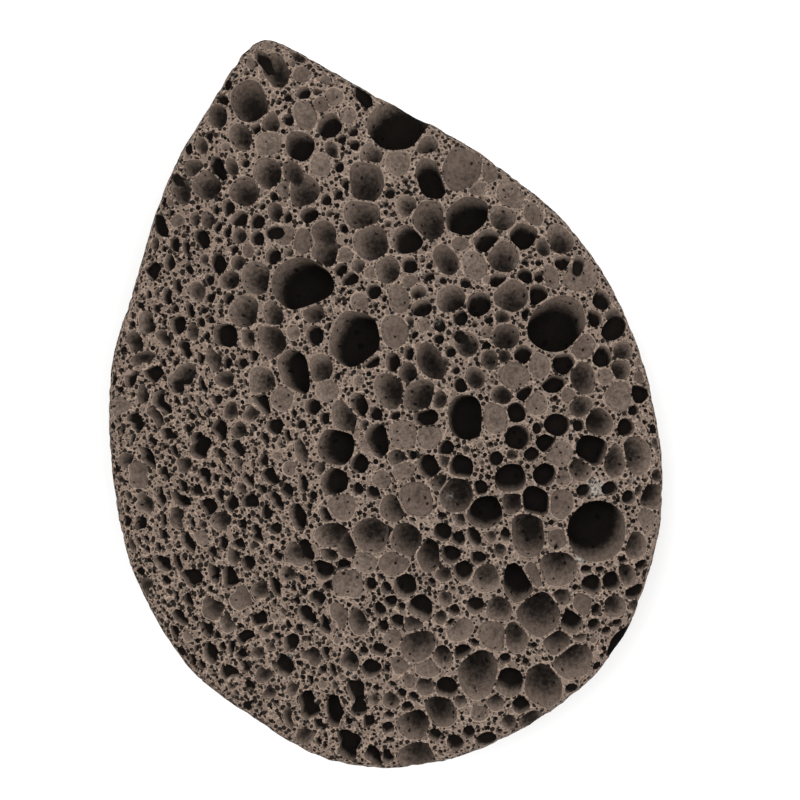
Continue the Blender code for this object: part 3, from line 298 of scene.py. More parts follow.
def placed(name: str, data: bpy.types.ID) -> bpy.types.Object:
    """Makes an object and puts it in the scene.

    Args:
        name: Its name.
        data: Its mesh, lamp or camera.

    Returns:
        The object.
    """
    thing = bpy.data.objects.new(name, data)
    bpy.context.scene.collection.objects.link(thing)
    return thing


@dataclass(frozen=True)
class Patch:
    """A spot on the stone's skin, its own three directions and its place on the UV layout.

    The layout is in millimetres: right and ahead on the skin are right and up on it.
    """

    spot: np.ndarray
    outward: np.ndarray
    right: np.ndarray
    ahead: np.ndarray
    chart: tuple[float, float]


@dataclass(frozen=True)
class Teardrop:
    """The outline seen from above: a smooth closed curve, from the tip round the left side."""

    length: float = 100.0 * MM
    width: float = 74.0 * MM
    sides: int = 400
    curve_steps: int = 30
    through_mm: tuple[tuple[float, float], ...] = (
        (2.3, 50.0), (-1.6, 49.5), (-8.0, 44.2), (-16.5, 36.2), (-25.5, 23.5),
        (-31.9, 13.3), (-35.6, 0.5), (-37.0, -12.3), (-34.4, -26.0), (-28.4, -35.6),
        (-19.0, -45.7), (-6.3, -50.0), (7.3, -49.0), (19.9, -44.1), (29.3, -34.0),
        (35.4, -20.4), (36.8, -3.2), (33.5, 12.5), (24.7, 26.6), (13.0, 39.1), (6.3, 46.4),
    )

    def dense(self) -> np.ndarray:
        """Runs a smooth curve through the named points.

        Returns:
            Closely spaced points on the curve, in metres.
        """
        marks = np.array(self.through_mm) * MM
        before, after, beyond = (np.roll(marks, shift, axis=0) for shift in (1, -1, -2))
        spans = []
        for step in range(self.curve_steps):
            share = step / self.curve_steps
            spans.append(0.5 * (
                2.0 * marks
                + (after - before) * share
                + (2.0 * before - 5.0 * marks + 4.0 * after - beyond) * share ** 2
                + (3.0 * marks - before - 3.0 * after + beyond) * share ** 3
            ))
        return np.stack(spans, axis=1).reshape(-1, 2)

    def points(self) -> np.ndarray:
        """Spaces the outline evenly and brings it to its length and width.

        Returns:
            One point for each side, counterclockwise.
        """
        curve = self.dense()
        closed = np.vstack([curve, curve[:1]])
        steps = np.linalg.norm(np.diff(closed, axis=0), axis=1)
        along = np.concatenate([[0.0], np.cumsum(steps)])
        marks = np.arange(self.sides) * along[-1] / self.sides
        spaced = np.stack([np.interp(marks, along, closed[:, k]) for k in range(2)], axis=1)
        low, high = spaced.min(axis=0), spaced.max(axis=0)
        return (spaced - (low + high) / 2) * np.array([self.width, self.length]) / (high - low)


def turned_out(points: np.ndarray) -> np.ndarray:
    """Gives the outward directions of a counterclockwise outline.

    Args:
        points: The outline's points.

    Returns:
        One unit vector for each point.
    """
    along = np.roll(points, -1, axis=0) - np.roll(points, 1, axis=0)
    out = np.stack([along[:, 1], -along[:, 0]], axis=1)
    return out / np.linalg.norm(out, axis=1, keepdims=True)


@dataclass
class Blank:
    """The stone before any bubble is open: a slab with a rounded, slightly uneven edge.

    Tumbling wears broad hollows into the side wall (wear), and fine crumbs fall out of it
    (crumble). On the layout the two faces lie side by side, and the side band above them
    in two strips.
    """

    outline: Teardrop = field(default_factory=Teardrop)
    thickness: float = 25.0 * MM
    rounding: float = 2.0 * MM
    rounding_steps: int = 4
    wall_steps: int = 4
    wear: float = 0.35 * MM
    wear_span: float = 7.0 * MM
    wear_bias: float = 0.45
    wear_contrast: float = 0.8
    fine_wear: float = 3.1
    band_flatness: int = 6
    crumble: float = 0.26 * MM
    crumble_span: float = 1.25 * MM
    crumble_bias: float = 0.15
    crumble_from: float = 1.0 * MM
    sheet_gap: float = 2.0

    def __post_init__(self) -> None:
        """Works out the outline, its directions and the lengths along it."""
        self.half_wide = self.outline.width / MM / 2
        self.half_long = self.outline.length / MM / 2
        self.points = self.outline.points()
        self.normals = turned_out(self.points)
        steps = np.linalg.norm(np.roll(self.points, -1, axis=0) - self.points, axis=1)
        self.along = np.concatenate([[0.0], np.cumsum(steps)])
        self.profile = self.edge_profile()
        self.rise = self.profile_lengths()

    def edge_profile(self) -> list[tuple[float, float]]:
        """Lays out the edge from the underside up to the upper face.

        Returns:
            Pairs of inset and height.
        """
        quarter = [math.pi / 2 * k / self.rounding_steps for k in range(self.rounding_steps + 1)]
        foot = [(self.rounding * (1 - math.sin(a)), self.rounding * (1 - math.cos(a))) for a in quarter]
        wall = self.thickness - 2 * self.rounding
        middle = [(0.0, self.rounding + wall * k / self.wall_steps) for k in range(1, self.wall_steps)]
        shoulder = [(inset, self.thickness - height) for inset, height in reversed(foot)]
        return foot + middle + shoulder

    def profile_lengths(self) -> list[float]:
        """Measures the way up the edge profile.

        Returns:
            The length to each of its points.
        """
        lengths = [0.0]
        for (inset, height), (inset_after, height_after) in zip(self.profile, self.profile[1:]):
            lengths.append(lengths[-1] + math.hypot(inset_after - inset, height_after - height))
        return lengths

    def upper(self, x: float, y: float) -> Patch:
        """Gives a spot on the upper face.

        Args:
            x: Its place across the stone, in metres.
            y: Its place along the stone, in metres.

        Returns:
            The spot and its directions.
        """
        chart = (x / MM + self.half_wide, y / MM + self.half_long)
        axes = np.eye(3)
        return Patch(np.array([x, y, self.thickness]), axes[2], axes[0], axes[1], chart)

    def underside(self, x: float, y: float) -> Patch:
        """Gives a spot on the underside.

        Args:
            x: Its place across the stone, in metres.
            y: Its place along the stone, in metres.

        Returns:
            The spot and its directions.
        """
        chart = (x / MM + 3 * self.half_wide + self.sheet_gap, self.half_long - y / MM)
        axes = np.eye(3)
        return Patch(np.array([x, y, 0.0]), -axes[2], axes[0], -axes[1], chart)

    def side_chart(self, along: float, rise: float) -> tuple[float, float]:
        """Places a spot of the side band on the layout.

        Args:
            along: The way round the outline, in metres.
            rise: The way up the edge profile, in metres.

        Returns:
            The place on the layout, in millimetres.
        """
        half = self.along[-1] / 2
        strip = 0 if along < half else 1
        height = self.rise[-1] / MM + self.sheet_gap
        foot = 2 * self.half_long + self.sheet_gap
        return ((along - strip * half) / MM, foot + strip * height + rise / MM)

    def side(self, share: float, height: float) -> Patch:
        """Gives a spot on the side wall.

        Args:
            share: The way round the outline, from 0 to 1.
            height: The height above the underside, in metres.

        Returns:
            The spot and its directions.
        """
        way = share * self.along[-1]
        place = min(int(np.searchsorted(self.along, way, side="right")) - 1, len(self.points) - 1)
        after = (place + 1) % len(self.points)
        blend = (way - self.along[place]) / (self.along[place + 1] - self.along[place])
        spot = self.points[place] * (1 - blend) + self.points[after] * blend
        out = self.normals[place] * (1 - blend) + self.normals[after] * blend
        out = np.append(out / np.linalg.norm(out), 0.0)
        right = np.array([-out[1], out[0], 0.0])
        upwards = np.array([0.0, 0.0, 1.0])
        rise = self.rise[self.rounding_steps] + height - self.rounding
        return Patch(np.append(spot, height), out, right, upwards, self.side_chart(way, rise))

    def edge(self, share: float, angle: float) -> Patch:
        """Gives a spot on the rounding between the side wall and the upper face.

        Args:
            share: The way round the outline, from 0 to 1.
            angle: How far up the rounding, in radians: 0 at the wall, a quarter turn at the face.

        Returns:
            The spot and its directions.
        """
        wall = self.side(share, self.thickness - self.rounding)
        out, upwards = wall.outward, wall.ahead
        inset = self.rounding * (1 - math.cos(angle))
        spot = wall.spot - out * inset + upwards * self.rounding * math.sin(angle)
        outward = out * math.cos(angle) + upwards * math.sin(angle)
        ahead = upwards * math.cos(angle) - out * math.sin(angle)
        chart = (wall.chart[0], wall.chart[1] + self.rounding * angle / MM)
        return Patch(spot, outward, wall.right, ahead, chart)

    def holds(self, x: float, y: float, margin: float) -> bool:
        """Tells whether a place lies inside the outline by at least a margin, all in metres."""
        gaps = (self.points - np.array([x, y])) * self.normals
        return float(gaps.sum(axis=1).min()) > margin

    def worn(self, place: np.ndarray, out: np.ndarray) -> np.ndarray:
        """Moves a point of the side wall inwards a little, as tumbling wears it.

        Args:
            place: The point.
            out: Its outward direction.

        Returns:
            The worn point.
        """
        middle = 1.0 - abs(place[2] / self.thickness * 2 - 1.0) ** self.band_flatness
        broad = noise.noise(Vector(place) / self.wear_span)
        rough = broad + 0.5 * noise.noise(Vector(place) / self.wear_span * self.fine_wear)
        hollow = middle * max(0.0, min(1.0, self.wear_bias + self.wear_contrast * rough))
        inner = min(1.0, place[2] / self.crumble_from, (self.thickness - place[2]) / self.crumble_from)
        crumbs = inner * max(0.0, noise.noise(Vector(place) / self.crumble_span) + self.crumble_bias)
        return place - out * (self.wear * hollow + self.crumble * crumbs)

    def build(self) -> "Shell":
        """Builds the blank's closed shell.

        Returns:
            Its points and faces, with their marks.
        """
        shell = Shell()
        for inset, height in self.profile:
            for point, out in zip(self.points, self.normals):
                place = np.append(point - out * inset, height)
                shell.points.append(self.worn(place, np.append(out, 0.0)))
        for level in range(len(self.profile) - 1):
            self.add_band(level, shell)
        sides = len(self.points)
        top = [(len(self.profile) - 1) * sides + side for side in range(sides)]
        foot = list(range(sides))[::-1]
        for loop, face in ((top, self.upper), (foot, self.underside)):
            shell.faces.append(tuple(loop))
            shell.charts.extend(face(*shell.points[k][:2]).chart for k in loop)
        shell.depths = [0.0] * len(shell.points)
        shell.sunk = [0.0] * len(shell.points)
        shell.owners = [0] * len(shell.faces)
        shell.tones = [0.5] * len(shell.faces)
        return shell

    def add_band(self, level: int, shell: "Shell") -> None:
        """Adds the faces of one band of the edge, all round the stone.

        Args:
            level: The band's number, counted up from the underside.
            shell: The shell that takes the faces.
        """
        sides = len(self.points)
        low, high = level * sides, (level + 1) * sides
        tall = (self.rise[level + 1] - self.rise[level]) / MM
        for side in range(sides):
            after = (side + 1) % sides
            chart = self.side_chart(self.along[side], self.rise[level])
            wide = (self.along[side + 1] - self.along[side]) / MM
            corners = [(0.0, 0.0), (wide, 0.0), (wide, tall), (0.0, tall)]
            shell.faces.append((low + side, low + after, high + after, high + side))
            shell.charts.extend((chart[0] + u, chart[1] + v) for u, v in corners)


@dataclass
class Shell:
    """A closed mesh on its way to Blender, with the marks that the finish reads.

    Each point has its depth under the skin in millimetres, and how far it is sunk as a share
    of its bubble's mean half width. Each face has its owner, 0 for the skin and otherwise one
    more than its bubble's number, and a tone by chance.
    """

    points: list[np.ndarray] = field(default_factory=list)
    faces: list[tuple[int, ...]] = field(default_factory=list)
    charts: list[tuple[float, float]] = field(default_factory=list)
    depths: list[float] = field(default_factory=list)
    sunk: list[float] = field(default_factory=list)
    owners: list[int] = field(default_factory=list)
    tones: list[float] = field(default_factory=list)

    def object(self, name: str) -> bpy.types.Object:
        """Makes the Blender object.

        Args:
            name: The object's name.

        Returns:
            The object, linked to the scene.
        """
        mesh = bpy.data.meshes.new(name)
        mesh.from_pydata([tuple(point) for point in self.points], [], self.faces)
        layout = mesh.uv_layers.new(name=LAYOUT)
        flat = np.array(self.charts, dtype=np.float32) / LAYOUT_SIZE_MM
        layout.data.foreach_set("uv", flat.ravel())
        self.mark(mesh)
        return placed(name, mesh)

    def mark(self, mesh: bpy.types.Mesh) -> None:
        """Sets the marks on a mesh.

        Args:
            mesh: The mesh, with as many points and faces as there are marks.
        """
        for title, kind, domain, values in (
            ("depth", "FLOAT", "POINT", self.depths),
            ("sunk", "FLOAT", "POINT", self.sunk),
            ("owner", "INT", "FACE", self.owners),
            ("tone", "FLOAT", "FACE", self.tones),
        ):
            mesh.attributes.new(title, kind, domain).data.foreach_set("value", values)


@dataclass(frozen=True)
class Facets:
    """How finely a bubble is cut: up to a mean width, so many facets around and rings down."""

    up_to: float
    around: int
    down: int


FACETS = (
    Facets(1.0 * MM, 6, 1),
    Facets(1.5 * MM, 7, 2),
    Facets(2.1 * MM, 9, 2),
    Facets(2.9 * MM, 11, 3),
    Facets(3.8 * MM, 14, 3),
    Facets(5.5 * MM, 18, 4),
    Facets(20.0 * MM, 28, 6),
)


@dataclass(frozen=True)
class Ring:
    """One ring of a bubble's wall, from the floor up.

    The share is its reach as a share of the mouth's, blend how much of the mouth's unevenness
    is left in it, slant the sine of its angle from the floor, and spread how far from the
    middle of the mouth it lies on the layout.
    """

    height: float
    share: float
    blend: float
    slant: float
    spread: float


@dataclass(frozen=True)
class Cell:
    """One bubble between the walls that it shares with its neighbours.

    A wall is how squarely each direction round the mouth meets it, how far it stands from the
    mouth's middle, and how it leans.
    """

    mouth: np.ndarray
    uneven: np.ndarray
    walls: list[tuple[np.ndarray, float, float]]
    least: float
    squareness: float

    def reach(self, share: float, height: float, blend: float) -> np.ndarray:
        """Measures how far the bubble reaches all round, at a height above the skin.

        Args:
            share: Its reach there if it stood alone, as a share of its mouth's.
            height: The height, in metres.
            blend: How much of the mouth's unevenness is left there, from 0 to 1.

        Returns:
            The reach in each direction.
        """
        free = self.mouth * share * (1 + self.uneven * blend)
        total = free ** -self.squareness
        for slope, limit, lean in self.walls:
            bound = np.maximum(limit - height * lean, self.least)
            total = total + (np.maximum(slope, 0.0) / bound) ** self.squareness
        return total ** (-1 / self.squareness)


@dataclass
class Foam:
    """Every bubble that opens on the skin, and the walls that keep them apart.

    Bubbles that face nearly the same way (alike) share flat walls, and the others keep their
    whole balls apart. Two whose mouths overlap by more than a share of the narrower one
    (merged) have run together. All bubbles of a face lean away from one upright spot as they
    go down.
    """

    wall: float = 0.20 * MM
    alike: float = 0.8
    sight: float = 14.0 * MM
    endless: float = 1.0
    corner_ease: float = 1.6
    merge_sight: float = 8.0 * MM
    merged: float = 0.49
    wall_sight: float = 1.2
    squareness: float = 12.0
    least_share: float = 0.12
    wobble: float = 0.05
    wave_sum: float = 1.7
    raggedness: float = 4.2
    tremble: float = 0.6
    tremble_most: float = 0.3
    lean: float = 0.030 / MM
    lean_most: float = 0.60
    lean_spread: float = 0.12
    level_from: float = 0.6
    last_ring: float = 0.92
    lip: float = 0.10 * MM
    lip_from: float = 2.0 * MM
    lip_below: float = -0.3
    lid: float = 0.30
    lid_least: float = 0.12
    wall_spread: float = 0.97
    lid_spread: float = 1.04
    plain_below: float = -0.6
    plain_share: float = 0.75
    upright: tuple[float, float] = (21.0 * MM, -11.0 * MM)
    capacity: int = 9000
    seed: int = 5

    def __post_init__(self) -> None:
        """Makes room for the bubbles' numbers."""
        self.count = 0
        self.chance = np.random.default_rng(self.seed)
        self.spot = np.zeros((self.capacity, 3))
        self.outward = np.zeros((self.capacity, 3))
        self.right = np.zeros((self.capacity, 3))
        self.ahead = np.zeros((self.capacity, 3))
        self.half = np.zeros((self.capacity, 2))
        self.turn = np.zeros(self.capacity)
        self.lift = np.zeros(self.capacity)
        self.leans = np.zeros((self.capacity, 3))
        self.ragged = np.zeros(self.capacity)
        self.swell = np.ones(self.capacity)
        self.ball = np.zeros((self.capacity, 4))
        self.chart = np.zeros((self.capacity, 2))

    def add(
        self,
        patch: Patch,
        width: float,
        length: float,
        turn: float,
        lift: float,
        ragged: float = 0.0,
        swell: float = 1.0,
    ) -> None:
        """Keeps one more bubble.

        Args:
            patch: Where its mouth opens.
            width: The mouth's width, along the patch's right direction before its turn.
            length: The mouth's length.
            turn: The mouth's turn, in radians.
            lift: How far its middle stands above the skin, as a share of the mean half width.
            ragged: How ragged its mouth is, from 0 to 1.
            swell: How much wider it grows, until its neighbours' walls stop it.
        """
        number = self.count
        mean = swell * math.sqrt(width * length) / 2
        self.spot[number] = patch.spot
        self.outward[number], self.right[number], self.ahead[number] = patch.outward, patch.right, patch.ahead
        self.half[number] = swell * width / 2, swell * length / 2
        self.swell[number] = swell
        self.turn[number] = turn
        self.lift[number] = lift
        self.ball[number, :3] = patch.spot + patch.outward * lift * mean
        self.ball[number, 3] = swell * math.sqrt(1 + lift ** 2) * max(width, length) / 2
        self.chart[number] = patch.chart
        self.leans[number] = self.leaning(patch)
        self.ragged[number] = ragged
        self.count += 1

    def leaning(self, patch: Patch) -> np.ndarray:
        """Tells how a bubble leans as it goes down.

        Args:
            patch: Where its mouth opens.

        Returns:
            How far it shifts along the skin for each unit of depth.
        """
        astray = self.chance.normal(0.0, self.lean_spread, 2)
        shift = patch.right * astray[0] + patch.ahead * astray[1]
        if patch.outward[2] < self.level_from:
            return shift
        fan = np.append(np.array(self.upright) - patch.spot[:2], 0.0) * self.lean
        return shift + fan * min(1.0, self.lean_most / max(np.linalg.norm(fan), 1e-9))

    def mouths(self, numbers: np.ndarray, directions: np.ndarray) -> np.ndarray:
        """Measures how far mouths reach towards given directions.

        Args:
            numbers: The bubbles' numbers.
            directions: One direction in space for each.

        Returns:
            The reach of each mouth.
        """
        x = (directions * self.right[numbers]).sum(axis=1)
        y = (directions * self.ahead[numbers]).sum(axis=1)
        angle = np.arctan2(y, x) - self.turn[numbers]
        wide, long = self.half[numbers, 0], self.half[numbers, 1]
        return wide * long / np.sqrt((long * np.cos(angle)) ** 2 + (wide * np.sin(angle)) ** 2)

    def room(self, patch: Patch) -> float:
        """Measures how large a round bubble may open at a spot.

        Args:
            patch: The spot.

        Returns:
            The half width that leaves a wall to every other bubble; it may be negative.
        """
        away = patch.spot - self.spot[: self.count]
        apart = np.linalg.norm(away, axis=1)
        near = apart < self.sight
        if not near.any():
            return self.endless
        numbers, away, apart = np.nonzero(near)[0], away[near], np.maximum(apart[near], 1e-7)
        alike = self.outward[numbers] @ patch.outward > self.alike
        room = np.empty(len(numbers))
        if alike.any():
            picked = numbers[alike]
            reach = self.mouths(picked, away[alike] / apart[alike, None])
            room[alike] = apart[alike] - reach - self.wall
        if (~alike).any():
            picked = numbers[~alike]
            gap = np.linalg.norm(self.ball[picked, :3] - patch.spot, axis=1) - self.ball[picked, 3]
            room[~alike] = (gap - 2 * self.wall) / self.corner_ease
        return float(room.min())

    def partners(self) -> set[tuple[int, int]]:
        """Finds the bubbles that have run together.

        Returns:
            Their numbers, in pairs.
        """
        found = set()
        for one in range(self.count):
            others = np.arange(one + 1, self.count)
            away = self.spot[others] - self.spot[one]
            apart = np.linalg.norm(away, axis=1)
            facing = self.outward[others] @ self.outward[one] > self.alike
            close = (apart < self.merge_sight) & (apart > 0) & facing
            if not close.any():
                continue
            others, away, apart = others[close], away[close], apart[close]
            towards = away / apart[:, None]
            gap = apart - self.mouths(np.full(len(others), one), towards) / self.swell[one]
            gap = gap - self.mouths(others, -towards) / self.swell[others]
            theirs = self.half[others].min(axis=1) / self.swell[others]
            narrow = np.minimum(theirs, self.half[one].min() / self.swell[one])
            found.update((one, int(other)) for other in others[gap < -self.merged * narrow])
        return found

    def walls(
        self, number: int, partners: set[int], around: np.ndarray
    ) -> list[tuple[np.ndarray, float, float]]:
        """Finds the walls that a bubble shares with its neighbours.

        Args:
            number: The bubble.
            partners: The bubbles to which it keeps no wall.
            around: The directions round its mouth, in radians.

        Returns:
            The walls, as a cell holds them.
        """
        away = self.spot[: self.count] - self.spot[number]
        apart = np.linalg.norm(away, axis=1)
        widest = self.half[number].max() + self.half[: self.count].max(axis=1)
        near = (apart < self.wall_sight * widest + self.wall) & (apart > 1e-9)
        near &= self.outward[: self.count] @ self.outward[number] > self.alike
        numbers = [int(k) for k in np.nonzero(near)[0] if int(k) not in partners]
        if not numbers:
            return []
        picked = np.array(numbers)
        towards = away[picked] / apart[picked, None]
        own = self.mouths(np.full(len(picked), number), towards)
        theirs = self.mouths(picked, -towards)
        limits = own + (apart[picked] - own - theirs - self.wall) / 2
        x = towards @ self.right[number]
        y = towards @ self.ahead[number]
        lean = towards @ self.outward[number]
        lean = lean + ((self.leans[picked] - self.leans[number]) / 2 * towards).sum(axis=1)
        return [
            (np.cos(around) * x[k] + np.sin(around) * y[k], float(limits[k]), float(lean[k]))
            for k in range(len(picked))
        ]

    def rings(self, lift: float, mean: float, down: int) -> list[Ring]:
        """Lays out a bubble's rings, up to the lid that stands above the skin.

        Args:
            lift: How far its middle stands above the skin, as a share of its mean half width.
            mean: Its mean half width.
            down: How many rings its wall has.

        Returns:
            The rings, lowest first.
        """
        bulge = math.sqrt(1 + lift ** 2)
        opening = math.acos(lift / bulge)
        lipped = 2 * mean > self.lip_from
        found = []
        for step in range(1, down if lipped else down + 1):
            angle = opening * self.last_ring * step / down
            share = bulge * math.sin(angle)
            height = (lift - bulge * math.cos(angle)) * mean
            spread = self.wall_spread * angle / opening
            found.append(Ring(height, share, min(1.0, share), math.sin(angle), spread))
        tops = ((-self.lip, self.lip_below), (self.lip, 1.0)) if lipped else ((self.lid * mean, 0.0),)
        for height, flare in tops:
            share = bulge * math.sqrt(max(self.lid_least, 1 - ((lift - height / mean) / bulge) ** 2))
            flared = share * (1 + flare * self.lip / mean)
            found.append(Ring(height, flared, min(1.0, share), 0.0, self.lid_spread))
        return found

    def shape(self, number: int, partners: set[int], shell: Shell) -> None:
        """Adds one bubble to a shell.

        Args:
            number: The bubble.
            partners: The bubbles that it has run together with, to which it keeps no wall.
            shell: The shell that takes its points and faces.
        """
        wide, long = self.half[number]
        mean = math.sqrt(wide * long)
        plain = self.plain_share if self.outward[number, 2] < self.plain_below else 1.0
        facets = next(each for each in FACETS if 2 * mean * plain < each.up_to)
        around = (np.arange(facets.around) + self.chance.random()) * math.tau / facets.around
        slant = around - self.turn[number]
        mouth = wide * long / np.sqrt((long * np.cos(slant)) ** 2 + (wide * np.sin(slant)) ** 2)
        waves = self.chance.random((3, 2)) * math.tau
        rough = self.wobble * (1 + self.raggedness * self.ragged[number])
        uneven = sum(np.sin(around * (k + 2) + waves[k, 0]) for k in range(3)) * rough / self.wave_sum
        walls = self.walls(number, partners, around)
        cell = Cell(mouth, uneven, walls, self.least_share * mean, self.squareness)

        base = len(shell.points)
        lean, outward = self.leans[number], self.outward[number]
        directions = np.cos(around)[:, None] * self.right[number]
        directions = directions + np.sin(around)[:, None] * self.ahead[number]
        floor = (self.lift[number] - math.sqrt(1 + self.lift[number] ** 2)) * mean
        shell.points.append(self.spot[number] + outward * floor - lean * floor)
        shell.depths.append(-floor / MM)
        shell.sunk.append(-floor / mean)
        rings = self.rings(self.lift[number], mean, facets.down)
        for ring in rings:
            reach = cell.reach(ring.share, ring.height, ring.blend)
            tremble = self.wobble * mean * np.sin(around * 2 + waves[1, 1]) * ring.slant * self.tremble
            heights = ring.height + np.minimum(tremble, max(0.0, -ring.height * self.tremble_most))
            places = self.spot[number] - lean * ring.height + directions * reach[:, None]
            shell.points.extend(places + outward * heights[:, None])
            shell.depths.extend([max(0.0, -ring.height) / MM] * facets.around)
            shell.sunk.extend([max(0.0, -ring.height) / mean] * facets.around)
        rim = cell.reach(1.0, 0.0, 1.0)
        self.chart_faces(number, around, rim, [ring.spread for ring in rings], base, shell)
        fresh = facets.around * len(rings) + 1
        shell.owners.extend([number + 1] * fresh)
        shell.tones.extend([float(self.chance.random())] * fresh)

    def chart_faces(
        self, number: int, around: np.ndarray, rim: np.ndarray, spread: list[float], base: int, shell: Shell
    ) -> None:
        """Adds a bubble's faces, and lays its wall out flat inside its own mouth.

        Args:
            number: The bubble.
            around: The directions round its mouth.
            rim: The mouth's reach in each.
            spread: How far from the middle of the mouth each ring lies on the layout.
            base: The number of the bubble's floor point.
            shell: The shell that takes the faces.
        """
        count = len(around)
        middle = self.chart[number]
        flat = np.stack([np.cos(around) * rim, np.sin(around) * rim], axis=1) / MM
        charts = [middle + flat * share for share in spread]
        for k in range(count):
            after = (k + 1) % count
            shell.faces.append((base, base + 1 + after, base + 1 + k))
            shell.charts.extend([middle, charts[0][after], charts[0][k]])
        for ring in range(len(spread) - 1):
            low, high = base + 1 + ring * count, base + 1 + (ring + 1) * count
            inner, outer = charts[ring], charts[ring + 1]
            for k in range(count):
                after = (k + 1) % count
                shell.faces.append((low + k, low + after, high + after, high + k))
                shell.charts.extend([inner[k], inner[after], outer[after], outer[k]])
        top = base + 1 + (len(spread) - 1) * count
        shell.faces.append(tuple(top + k for k in range(count)))
        shell.charts.extend(charts[-1])


@dataclass(frozen=True)
class Strewing:
    """One round of bubbles strewn into the room that the larger ones leave, by half width."""

    tries: int
    least: float
    most: float


@dataclass
class Bubbles:
    """The stone's foam: placed bubbles on the upper face, strewn ones wherever they leave room.

    The foam is torn and slanting towards the stone's left side: it starts to be so at
    torn_from and wholly is at torn_to. Growth is how much wider the placed bubbles grow until
    their neighbours' walls stop them.
    """

    blank: Blank
    foam: Foam = field(default_factory=Foam)
    seed: int = 23
    growth: float = 1.38
    deep_growth: float = 1.20
    lift_spread: float = 0.08
    strewn_lift_spread: float = 0.12
    torn_from: float = -8.0 * MM
    torn_to: float = -20.0 * MM
    torn_tilt: float = 0.12
    face_margin: float = 0.3 * MM
    wall_heights_mm: tuple[float, float] = (0.8, 24.2)
    edge_angles: tuple[float, float] = (-0.1, 0.9)
    corner_margin: float = 0.8 * MM
    corner_share: float = 1.5
    resting_spot: float = 7.0 * MM
    resting_most: float = 0.7 * MM
    small: float = 0.8 * MM
    size_bias: float = 1.6
    stretch: float = 0.10
    torn_stretch: float = 0.45
    slant: float = 12.0
    slant_spread: float = 25.0
    torn_slant_spread: float = 15.0
    coarse_odds: tuple[float, float, float] = (0.35, 0.40, 0.25)
    fine_odds: tuple[float, float, float] = (0.12, 0.28, 0.60)

    def __post_init__(self) -> None:
        """Starts the chances."""
        self.chance = np.random.default_rng(self.seed)

    def open_upper(self) -> None:
        """Opens the bubbles of the upper face that are placed one by one."""
        for x, y, width, length, caught, *turned in LARGE_BUBBLES_MM + SMALL_BUBBLES_MM:
            patch = self.blank.upper(x * MM, y * MM)
            turn = math.radians(sum(turned))
            lift = caught.value + self.chance.uniform(-self.lift_spread, self.lift_spread)
            swell = self.deep_growth if caught is Caught.DEEP else self.growth
            self.foam.add(patch, width * MM, length * MM, turn, lift, self.torn(patch), swell)

    def torn(self, patch: Patch) -> float:
        """Tells how torn the foam is at a spot, from 0 to 1."""
        across = patch.spot[0] + self.torn_tilt * patch.spot[1]
        return min(1.0, max(0.0, (across - self.torn_from) / (self.torn_to - self.torn_from)))

    def spot_on(self, side: Side) -> Patch | None:
        """Picks a spot by chance.

        Args:
            side: The side of the stone.

        Returns:
            The spot, or None where it misses the stone.
        """
        if side is Side.WALL:
            return self.blank.side(self.chance.random(), self.chance.uniform(*self.wall_heights_mm) * MM)
        if side is Side.EDGE:
            return self.blank.edge(self.chance.random(), self.chance.uniform(*self.edge_angles))
        x = self.chance.uniform(-0.5, 0.5) * self.blank.outline.width
        y = self.chance.uniform(-0.5, 0.5) * self.blank.outline.length
        if not self.blank.holds(x, y, self.face_margin):
            return None
        return self.blank.upper(x, y) if side is Side.UPPER else self.blank.underside(x, y)

    def spare(self, patch: Patch, side: Side, half: float) -> float:
        """Keeps a bubble off its neighbours, the stone's corners and its resting place.

        Args:
            patch: The spot.
            side: The side it is on.
            half: The half width that is wanted.

        Returns:
            The half width that fits there.
        """
        half_fitting = min(self.foam.room(patch), half)
        if side is Side.WALL:
            height = float(patch.spot[2])
            edge = min(height, self.blank.thickness - height)
            return min(half_fitting, max(edge - self.corner_margin, 0.0) / self.corner_share)
        if side is Side.UNDERSIDE:
            clear = math.hypot(patch.spot[0], patch.spot[1]) - self.resting_spot
            return min(half_fitting, max(clear, self.resting_most if half < self.small else 0.0))
        return half_fitting

    def strew(self, side: Side, rounds: tuple[Strewing, ...]) -> None:
        """Fills one side with bubbles, larger ones first.

        Args:
            side: The side.
            rounds: The rounds of strewing.
        """
        kinds = [caught.value for caught in Caught]
        for each in rounds:
            for _ in range(each.tries):
                patch = self.spot_on(side)
                if patch is None:
                    continue
                wanted = each.least + (each.most - each.least) * self.chance.random() ** self.size_bias
                half = self.spare(patch, side, wanted)
                if half < each.least:
                    continue
                torn = self.torn(patch)
                stretch = (1 + (self.stretch + self.torn_stretch * torn) * self.chance.random()) ** 0.5
                spread = self.slant_spread + (self.torn_slant_spread - self.slant_spread) * torn
                turn = math.radians(self.chance.normal(self.slant * torn, spread))
                odds = self.coarse_odds if half > self.small and torn < 0.5 else self.fine_odds
                lift = self.chance.choice(kinds, p=odds)
                lift += self.chance.uniform(-self.strewn_lift_spread, self.strewn_lift_spread)
                self.foam.add(patch, 2 * half / stretch, 2 * half * stretch, turn, lift, torn)

    def cutters(self) -> list[bpy.types.Object]:
        """Builds the cutters.

        Returns:
            The cutters; bubbles that have run together are never in the same one.
        """
        pairs = self.foam.partners()
        LOG.info("bubbles: %d, run together: %d", self.foam.count, len(pairs))
        partners = [set() for _ in range(self.foam.count)]
        for one, other in pairs:
            partners[one].add(other)
            partners[other].add(one)
        layers = []
        for number in range(self.foam.count):
            taken = {layers[other] for other in partners[number] if other < number}
            layers.append(next(layer for layer in range(len(taken) + 1) if layer not in taken))
        shells = [Shell() for _ in range(max(layers) + 1)]
        for number, layer in enumerate(layers):
            self.foam.shape(number, partners[number], shells[layer])
        return [shell.object("cells") for shell in shells]


